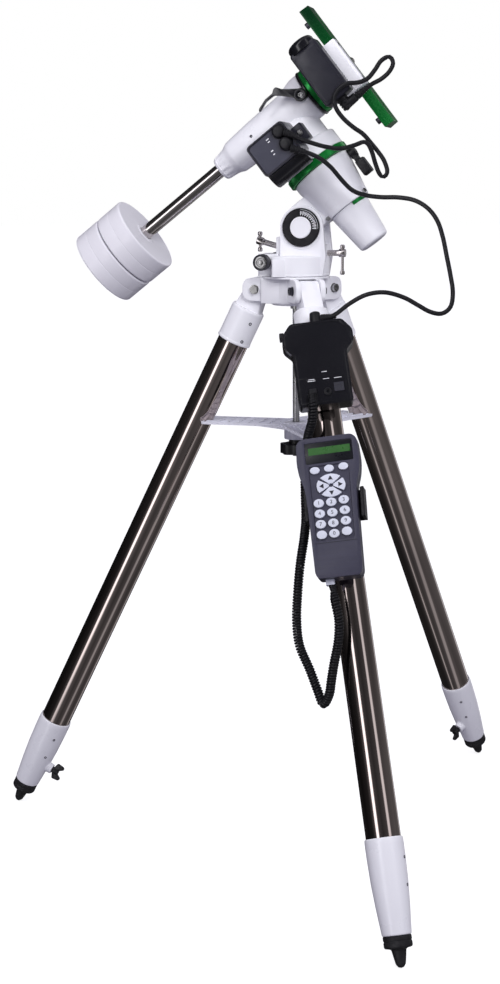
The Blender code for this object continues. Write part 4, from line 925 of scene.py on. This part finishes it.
def make_dec():
    ring = lathe("20 55, 33 55, 33.7 55.6, 33.7 61.3, 33 62, 20 62", 0.0005, 120)
    put("dec_circle_ring", ring, "green_metal", "dec_circle", DEC, "dec_setting_circle")
    band = lathe("20 50.8, 33.7 50.8, 34.5 51.6, 34.5 54, 33.7 54.8, 20 54.8", 0.0005, 120)
    put("dec_circle_band", band, "gloss_black", "dec_circle", DEC, "dec_setting_circle")
    ticks = circle_ticks(72, (0.0333, 0.03376), 0.00014, 0.056, 0.0032, 0.0018)
    put("dec_circle_ticks", gather(*ticks), "mark_dark", "dec_circle", DEC)
    cup = mm("0 88, 31.2 88, 31.2 63.2, 33.1 63.2, 33.7 64, 33.7 92, 0 92")
    parts = [(lathe(cup, 0.0009, 120), ALONG_X)]
    near = mm("90.5 0, 90.5 -40, 121.5 -40, 124.2 -37.5, 124.2 -19, 121.2 -18.6, 106.5 -22.4, "
        "106.5 0")
    far = mm("90.5 0, 106.5 0, 106.5 22.4, 117.8 19.6, 117.6 21.5, 108.5 34.5, 90.5 34.5")
    parts += [slab(near, -0.042, 0.031), slab(far, -0.042, 0.031)]
    put("saddle_casting", gather(*parts), "enamel", "dec", POLAR, "saddle", soft=0.001)
    screws = []
    for z in (-0.033, 0.022):
        screws.append((socket_screw(0.0026, 0.1232, 0.1247), move(0.0, -0.03, z) @ ALONG_X))
    put("saddle_small_screws", gather(*screws), "dark_bolt", "dec", POLAR)
    at = POLAR @ move(0.114, 0.0, 0.0085) @ ALONG_Y
    screw = lathe("0 20.9, 3.1 20.9, 3.1 40, 5.2 40.3, 6 41.2, 6 50, 5 51.2, 3 51.2, 2.6 50.2, "
        "0 50.2", 0.0004, 96, 16, 0.0005, (0.0414, 0.0498))
    put("saddle_clamp_screw", screw, "chrome_bar", "bar_screw", at, "saddle_screw")
    low, high, foot, top = 0.1068, 0.121, 0.0218, 0.018
    section = [(low, -foot), (low + 0.0016, -foot), (high - 0.0008, -top - 0.0003),
        (high, -top + 0.0006), (high, top - 0.0006), (high - 0.0008, top + 0.0003),
        (low + 0.0016, foot), (low, foot)]
    slot_cuts = []
    for start, end in ((-0.09, -0.05), (0.038, 0.08)):
        outline = [(start, -0.0033), (end, -0.0033), (end, 0.0033), (start, 0.0033)]
        cutter = slab([(y, z) for z, y in outline], high - 0.004, high + 0.002, "X", 0.003)
        slot_cuts.append((cutter, POLAR))
    put("dovetail_bar_body", slab(section, -0.102, 0.091), "green_bar", "bar", POLAR,
        "dovetail_bar", slot_cuts, soft=0.0006)
    nuts = []
    for place in (-0.087, 0.074):
        nuts.append((hexagon(0.0078, 0.1, 0.1072), move(0.0, 0.0, place) @ ALONG_X))
        nuts.append((socket_screw(0.0028, 0.116, 0.119), move(0.0, 0.0, place) @ ALONG_X))
    put("dovetail_stops", gather(*nuts), "dark_bolt", "bar", POLAR)
    case = slab("66.5 -40, 107.5 -40, 107.5 44, 66.5 44", -0.068, -0.0415, "Y", 0.005)
    put("dec_motor_case", case, "motor_plastic", "dec", POLAR, "dec_motor_box", soft=0.0022)
    lip = slab("70 -35, 104 -35, 104 37, 70 37", -0.0686, -0.066, "Y", 0.004)
    put("dec_motor_lid", lip, "motor_plastic", "dec", POLAR, soft=0.0005)
    drum = lathe("0 39.5, 18.6 39.5, 19 40.2, 19 49, 16.5 52.5, 11 54.5, 0 55", 0.0024, 96)
    at = POLAR @ move(0.086, -0.0545, 0.0)
    put("dec_motor_cap", drum, "gloss_black", "dec", at)
    stub = relief(0.0185, 0.0084, 0.007, 4)
    elbow = lathe("0 84, 7.2 84, 7.6 86, 6.6 90, 6 103.5, 5 105.5, 0 105.5", 0.0012, 36)
    put("dec_motor_elbow", gather((stub, move(0.088, -0.0545, -0.038) @ turn(180.0, "X")),
        (elbow, move(0.0, -0.0545, -0.051) @ ALONG_X)), "matt_black", "dec", POLAR)


# ---- electronics ----

def make_control_box():
    half = mm("34.5 -64, 47 -80, 47 -96, 35.5 -108, 35.5 -180")
    outline = mirrored(half)
    clasp = (LEGS["front"].inverted() @ BOX).inverted()
    tube_cut = (rod(TUBE_FIT, -0.16, -0.1, 64), LEGS["front"])
    shell = gather(slab(outline, 0.025, 0.052, "X", 0.0045), (tube_band(-0.15, -0.115), clasp))
    put("control_case", shell, "gloss_black", "leg_front", BOX, "control_box", [tube_cut],
        soft=0.0022, segments=4)
    lines = []
    inset = 0.003
    inner = [Vector((y - copysign(inset, y), z + (inset if z < -0.12 else -inset))) for y,
        z in outline]
    for a, b in zip(inner, inner[1:] + inner[:1]):
        way = (b - a).normalized()
        side = Vector((-way.y, way.x)) * 0.0006
        quad = [tuple(a - side), tuple(b - side), tuple(b + side), tuple(a + side)]
        lines.append(slab(quad, 0.0515, 0.0526, "X"))
    lines.append(plate("-33 33, 142 143.2, 51.5 52.5", 0.0))
    put("control_case_lines", gather(*lines), "gloss_black", "leg_front", BOX, soft=0.0003,
        segments=2)
    # painted highlight: the jack is a dark grey a touch lighter than the black case, standing in
    # for the glints on its edges
    jack = plate("12.5 25.5, 152 164, 51 52.9", 0.001)
    put("control_square_jack", jack, "mark_dark", "leg_front", BOX,
        cuts=[(plate("14.8 23.2, 154.5 161.5, 52.2 54", 0.0006), BOX)])
    round_jack = lathe("2.2 0, 5.2 0, 5.2 1.8, 4.4 2.4, 2.6 2.4, 2.2 1.6", 0.0004, 40)
    put("control_round_jack", round_jack, "matt_black", "leg_front",
        BOX @ move(0.0514, 0.0035, -0.163) @ ALONG_X)
    dashes = []
    for y, s, wide in mm("-16 144 4.2, -16 146.2 5, 3.5 144.8 4, 19 145 5, 2 135 3.6"):
        dashes.append(plate((y - wide, y + wide), (s, s + 0.0007), (0.0518, 0.0522), 0.0))
    put("control_marks", gather(*dashes), "mark_white", "leg_front", BOX)
    top_plug = gather((lathe("0 0, 7.8 0, 7.8 13, 7.4 15, 7 19.5, 5 20.8, 0 21", 0.0014, 48),
        move(0.04, 0.001, -0.068)))
    put("control_top_plug", top_plug, "matt_black", "leg_front", BOX)
    nub = block("34 50, -50 -44, -82 -74", 0.0015)
    put("control_clip_nub", nub, "matt_black", "leg_front", BOX, soft=0.0008)
    boot = relief(0.018, 0.0062, 0.005, 4)
    put("control_coil_plug", gather(boot, block("-6.2 6.2, -5.2 5.2, -6 1", 0.0012)),
        "matt_black", "leg_front", BOX @ move(0.05, -0.016, -0.165) @ turn(160.0, "Y"))


DIGITS = "123456789*0#"
KEY_BACK = 0.059


def glyph(text, size):
    """A digit's outline as a thin mesh, centred."""
    curve = bpy.data.curves.new("glyph", "FONT")
    curve.body = text
    curve.size = size
    curve.align_x = "CENTER"
    curve.align_y = "CENTER"
    curve.extrude = 0.00012
    held = bpy.data.objects.new("glyph", curve)
    bpy.context.scene.collection.objects.link(held)
    bpy.context.view_layer.update()
    mesh = bpy.data.meshes.new_from_object(held)
    bm = bmesh.new()
    bm.from_mesh(mesh)
    bpy.data.objects.remove(held)
    bpy.data.meshes.remove(mesh)
    return bm


def make_handset():
    half = mm("33 -227, 39.5 -233, 41 -260, 39 -277, 33.4 -295, 32 -320, 30.4 -405, 27 -412")
    outline = mirrored(half)
    recess = slab("-26.2 -265, 26.2 -265, 24.5 -364, -24.5 -364", 0.0618, 0.07, "X", 0.004)
    window = plate("-29.2 33.2, 233.5 261.8, 63.2 70", 0.002)
    put("handset_shell_body", slab(outline, 0.036, 0.064, "X", 0.006), "handset_shell", "handset",
        HANDSET, "handset", [(recess, HANDSET), (window, HANDSET)], soft=0.003, segments=4)
    seam = slab([(y * 1.006, z) for y, z in outline], 0.0494, 0.0502, "X", 0.006)
    put("handset_seam", seam, "mark_dark", "handset", HANDSET)
    glass = plate("-28.8 32.8, 233.9 261.4, 62.2 63.7", 0.0018)
    put("display_window", glass, "window_black", "handset", HANDSET, soft=0.0003, segments=2)
    green = plate("-24.5 30, 240.5 250, 63.4 63.85", 0.0008)
    put("display_panel", green, "display_green", "handset", HANDSET)
    panel = slab("-25.8 -265.4, 25.8 -265.4, 24.1 -363.6, -24.1 -363.6", 0.0612, 0.0624, "X",
        0.0036)
    put("key_panel", panel, "handset_shell", "handset", HANDSET)
    line = plate("-28 28, 366.2 367, 63.6 64.3", 0.0)
    put("panel_line", line, "mark_dark", "handset", HANDSET)
    keys, marks = [], []
    for v, z in mm("-18 -270.8, 0.5 -270, 19.2 -269.4"):
        keys.append(slab(oval((v, z), (0.0063, 0.0046)), KEY_BACK, 0.0657, "X"))
    centre = (0.001, -0.2927)
    for k in range(4):
        middle = 90.0 * k
        sector = []
        half_angle = 33 if k % 2 == 0 else 45
        for angle in range(-half_angle, half_angle + 1, 6):
            a = radians(middle + angle)
            sector.append((centre[0] + 0.0186 * cos(a), centre[1] + 0.0152 * sin(a)))
        for angle in range(half_angle - 4, 3 - half_angle, -8):
            a = radians(middle + angle)
            sector.append((centre[0] + 0.003 * cos(a), centre[1] + 0.0024 * sin(a)))
        keys.append(slab(sector, KEY_BACK, 0.0658, "X", 0.0012))
        a = radians(middle)
        way = Vector((cos(a), sin(a)))
        side = Vector((-way.y, way.x))
        spot = Vector(centre) + Vector((way.x * 0.0118, way.y * 0.0096))
        arrow = [tuple(spot + way * 0.0034), tuple(spot - way * 0.0022 + side * 0.0032),
            tuple(spot - way * 0.0022 - side * 0.0032)]
        marks.append(slab(arrow, 0.065, 0.06595, "X"))
    face_on = Matrix(((0, 0, 1, 0), (1, 0, 0, 0), (0, 1, 0, 0), (0, 0, 0, 1)))
    for row in range(4):
        for column, v in enumerate((-0.017, -0.0008, 0.0155)):
            at = (v, -(0.3145 + 0.0138 * row) + (0.0012 if column == 2 else 0.0))
            keys.append(slab(oval(at, (0.0066, 0.0055)), KEY_BACK, 0.0657, "X"))
            digit = DIGITS[3 * row + column]
            if digit.isdigit():
                marks.append((glyph(digit, 0.0068), move(0.06575, at[0], at[1]) @ face_on))
    put("keys_pale", gather(*keys), "key_face", "keys", HANDSET, "keypad", soft=0.0009)
    put("key_marks", gather(*marks), "mark_dark", "keys", HANDSET)
    plug = block("-5.2 5.2, -5.5 5.5, -6 3.5", 0.0008)
    put("handset_plug", plug, "key_face", "handset", HANDSET @ move(0.0475, -0.014, -0.413))
    back = [block("30 34.5, -39.5 39.5, -335 -295", 0.0015)]
    for sign in (-1.0, 1.0):
        edges = sorted((sign * 0.0352, sign * 0.039))
        back.append(block((0.032, 0.054), edges, (-0.335, -0.295), 0.0012))
        lip = sorted((sign * 0.034, sign * 0.039))
        back.append(block((0.0525, 0.0552), lip, (-0.334, -0.296), 0.001))
    back.append(block("23.8 32, -9 9, -320 -298"))
    back.append((tube_band(-0.32, -0.298), HOLDER.inverted() @ LEGS["front"]))
    cut = (rod(TUBE_FIT, -0.33, -0.29, 64), LEGS["front"])
    put("holder_bracket", gather(*back), "matt_black", "leg_front", HOLDER, "handset_holder", [cut],
        soft=0.0008)


# ---- hidden works ----

def finish_works():
    """The CAD nodes inside the housings keep their shape and get the real finishes."""
    look("works_zinc", (0.5, 0.5, 0.52), 0.3, 1.0, spread=0.12, patch=60.0,
        grain=900.0, relief=0.12, shade=(0.38, 0.38, 0.36), hidden=True)
    look("works_brass", (0.62, 0.44, 0.18), 0.28, 1.0, spread=0.12, patch=90.0,
        grain=900.0, relief=0.15, hidden=True)
    for node in ("ra_shaft", "ra_worm", "ra_motor", "dec_shaft", "dec_worm", "dec_motor",
            "ra_worm_wheel", "dec_worm_wheel"):
        finish = "works_brass" if node.endswith("wheel") else "works_zinc"
        for held in bpy.data.objects[node].material_slots:
            held.material = LOOKS[finish]


# ---- studio ----

MATT_LOW, MATT_HIGH = (0.22, 0.21, 0.27), (0.58, 0.57, 0.65)
GLOSS_TOP = (0.3, 0.3, 0.32)
LAMP_SIZE = (0.7, 0.9)
FLOOR_GLOW = 0.8
GLOSS_BANDS = {                                     # place round the horizon, brightness
    "low": ((0.0, 0.02), (0.11, 0.04), (0.162, 0.12), (0.18, 0.6), (0.205, 0.6),
            (0.222, 0.12), (0.29, 0.06), (0.37, 0.1), (0.395, 0.42), (0.43, 0.45),
            (0.45, 0.12), (0.56, 0.06), (0.66, 0.1), (0.675, 0.45), (0.705, 0.45),
            (0.72, 0.08), (0.8, 0.02)),
    "level": ((0.0, 0.008), (0.11, 0.02), (0.16, 0.1), (0.174, 2.6), (0.196, 2.6),
              (0.21, 0.2), (0.27, 0.08), (0.33, 0.13), (0.41, 0.22), (0.48, 0.16),
              (0.58, 0.12), (0.66, 0.16), (0.675, 0.7), (0.705, 0.7), (0.72, 0.16),
              (0.8, 0.02), (0.9, 0.008)),
    "high": ((0.0, 0.02), (0.11, 0.03), (0.16, 0.12), (0.174, 2.8), (0.2, 2.8),
             (0.216, 0.08), (0.29, 0.04), (0.388, 0.08), (0.402, 1.1), (0.434, 1.1),
             (0.45, 0.1), (0.56, 0.06), (0.66, 0.1), (0.675, 0.8), (0.705, 0.8),
             (0.72, 0.1), (0.8, 0.02)),
}


def ramp(tree, value, stops):
    """Colours along a value, from (place, colour) pairs."""
    node = add(tree, "ValToRGB")
    elements = node.color_ramp.elements
    while len(elements) > 1:
        elements.remove(elements[-1])
    for k, (at, colour) in enumerate(stops):
        stop = elements.new(at) if k else elements[0]
        stop.position = at
        stop.color = (*colour, 1.0)
    tree.links.new(value, node.inputs[0])
    return node.outputs["Color"]


def mix_shader(tree, factor, first, second):
    node = add(tree, "MixShader")
    for socket, source in zip(node.inputs, (factor, first, second)):
        tree.links.new(source, socket)
    return node.outputs[0]


def make_world():
    """White to the camera, soft light on matt surfaces, and light strips in the dark to gloss."""
    world = bpy.data.worlds.new("studio")
    bpy.context.scene.world = world
    world.use_nodes = True
    tree = world.node_tree
    tree.nodes.clear()
    out = add(tree, "OutputWorld")
    path = add(tree, "LightPath")
    seen = add(tree, "Background", Color=(1.0, 1.0, 1.0, 1.0))
    matt, gloss = add(tree, "Background"), add(tree, "Background")
    split = add(tree, "SeparateXYZ")
    tree.links.new(add(tree, "TexCoord").outputs["Generated"], split.inputs[0])
    up = split.outputs["Z"]
    azimuth = add(tree, "Math")
    azimuth.operation = "ARCTAN2"
    tree.links.new(split.outputs["Y"], azimuth.inputs[0])
    tree.links.new(split.outputs["X"], azimuth.inputs[1])
    place = spread_range(tree, azimuth.outputs[0], source=(-pi, pi))
    for level, rise in (("low", None), ("level", (-0.5, -0.25)), ("high", (0.05, 0.3))):
        band = ramp(tree, place, [(at, (value, 0.985 * value, 1.02 * value)) for at,
            value in GLOSS_BANDS[level]])
        if rise:
            band = colour_mix(tree, spread_range(tree, up, source=rise), strips, band)
        strips = band
    overhead = spread_range(tree, up, source=(0.85, 0.98))
    tree.links.new(colour_mix(tree, overhead, strips, GLOSS_TOP), gloss.inputs["Color"])
    lift = spread_range(tree, up, source=(-0.7, 0.8))
    tree.links.new(ramp(tree, lift, ((0.0, MATT_LOW), (1.0, MATT_HIGH))), matt.inputs["Color"])
    lit = mix_shader(tree, path.outputs["Is Glossy Ray"], matt.outputs[0], gloss.outputs[0])
    tree.links.new(mix_shader(tree, path.outputs["Is Camera Ray"], lit, seen.outputs[0]),
        out.inputs["Surface"])


def make_lamp(name, at, aim, power, colour):
    """A rectangular lamp, left out of what gloss shows."""
    data = bpy.data.lights.new(name, "AREA")
    data.energy = power
    data.color = colour
    data.shape = "RECTANGLE"
    data.size, data.size_y = LAMP_SIZE
    lamp = bpy.data.objects.new(name, data)
    bpy.context.scene.collection.objects.link(lamp)
    way = Vector(aim) - Vector(at)
    lamp.matrix_world = Matrix.Translation(at) @ way.to_track_quat("-Z", "Y").to_matrix().to_4x4()
    lamp.visible_glossy = False


def make_studio():
    make_world()
    make_lamp("key", (-1.1, -1.3, 1.95), (0.05, 0.0, 1.0), 10.5, (1.0, 0.99, 0.98))
    make_lamp("fill", (0.95, -1.25, 1.65), (0.12, 0.0, 1.0), 18.0, (0.99, 0.99, 1.0))
    look("studio_floor", (0.45, 0.45, 0.46), 0.85, spread=0.01, patch=0.6,
        grain=40.0, relief=0.02)
    shader = LOOKS["studio_floor"].node_tree.nodes["Principled BSDF"]
    shader.inputs["Emission Color"].default_value = (1.0, 1.0, 1.0, 1.0)
    shader.inputs["Emission Strength"].default_value = FLOOR_GLOW
    bm = bmesh.new()
    bmesh.ops.create_grid(bm, x_segments=8, y_segments=8, size=40.0)
    floor = new_object("studio_floor", bm, LOOKS["studio_floor"], move(0.0, 0.0, FLOOR_Z - 0.0004))
    floor.visible_glossy = False
    floor.visible_diffuse = False
    bpy.context.scene.view_settings.view_transform = "Standard"


make_camera()
make_looks()
make_cords()
make_head()
make_tray()
for leg_name in LEG_AZIMUTHS:
    make_leg(leg_name)
make_azimuth()
make_latitude_bolt("north", (0.0066, 0.8518), turn(16.0, "Y") @ TO_MINUS_X, 0.065, 0.013, 0.015)
make_latitude_bolt("south", (0.0207, 0.852), ALONG_X, 0.05, 0.0115, 0.03)
make_polar()
make_ra()
make_dec()
make_control_box()
make_handset()
finish_works()
make_studio()
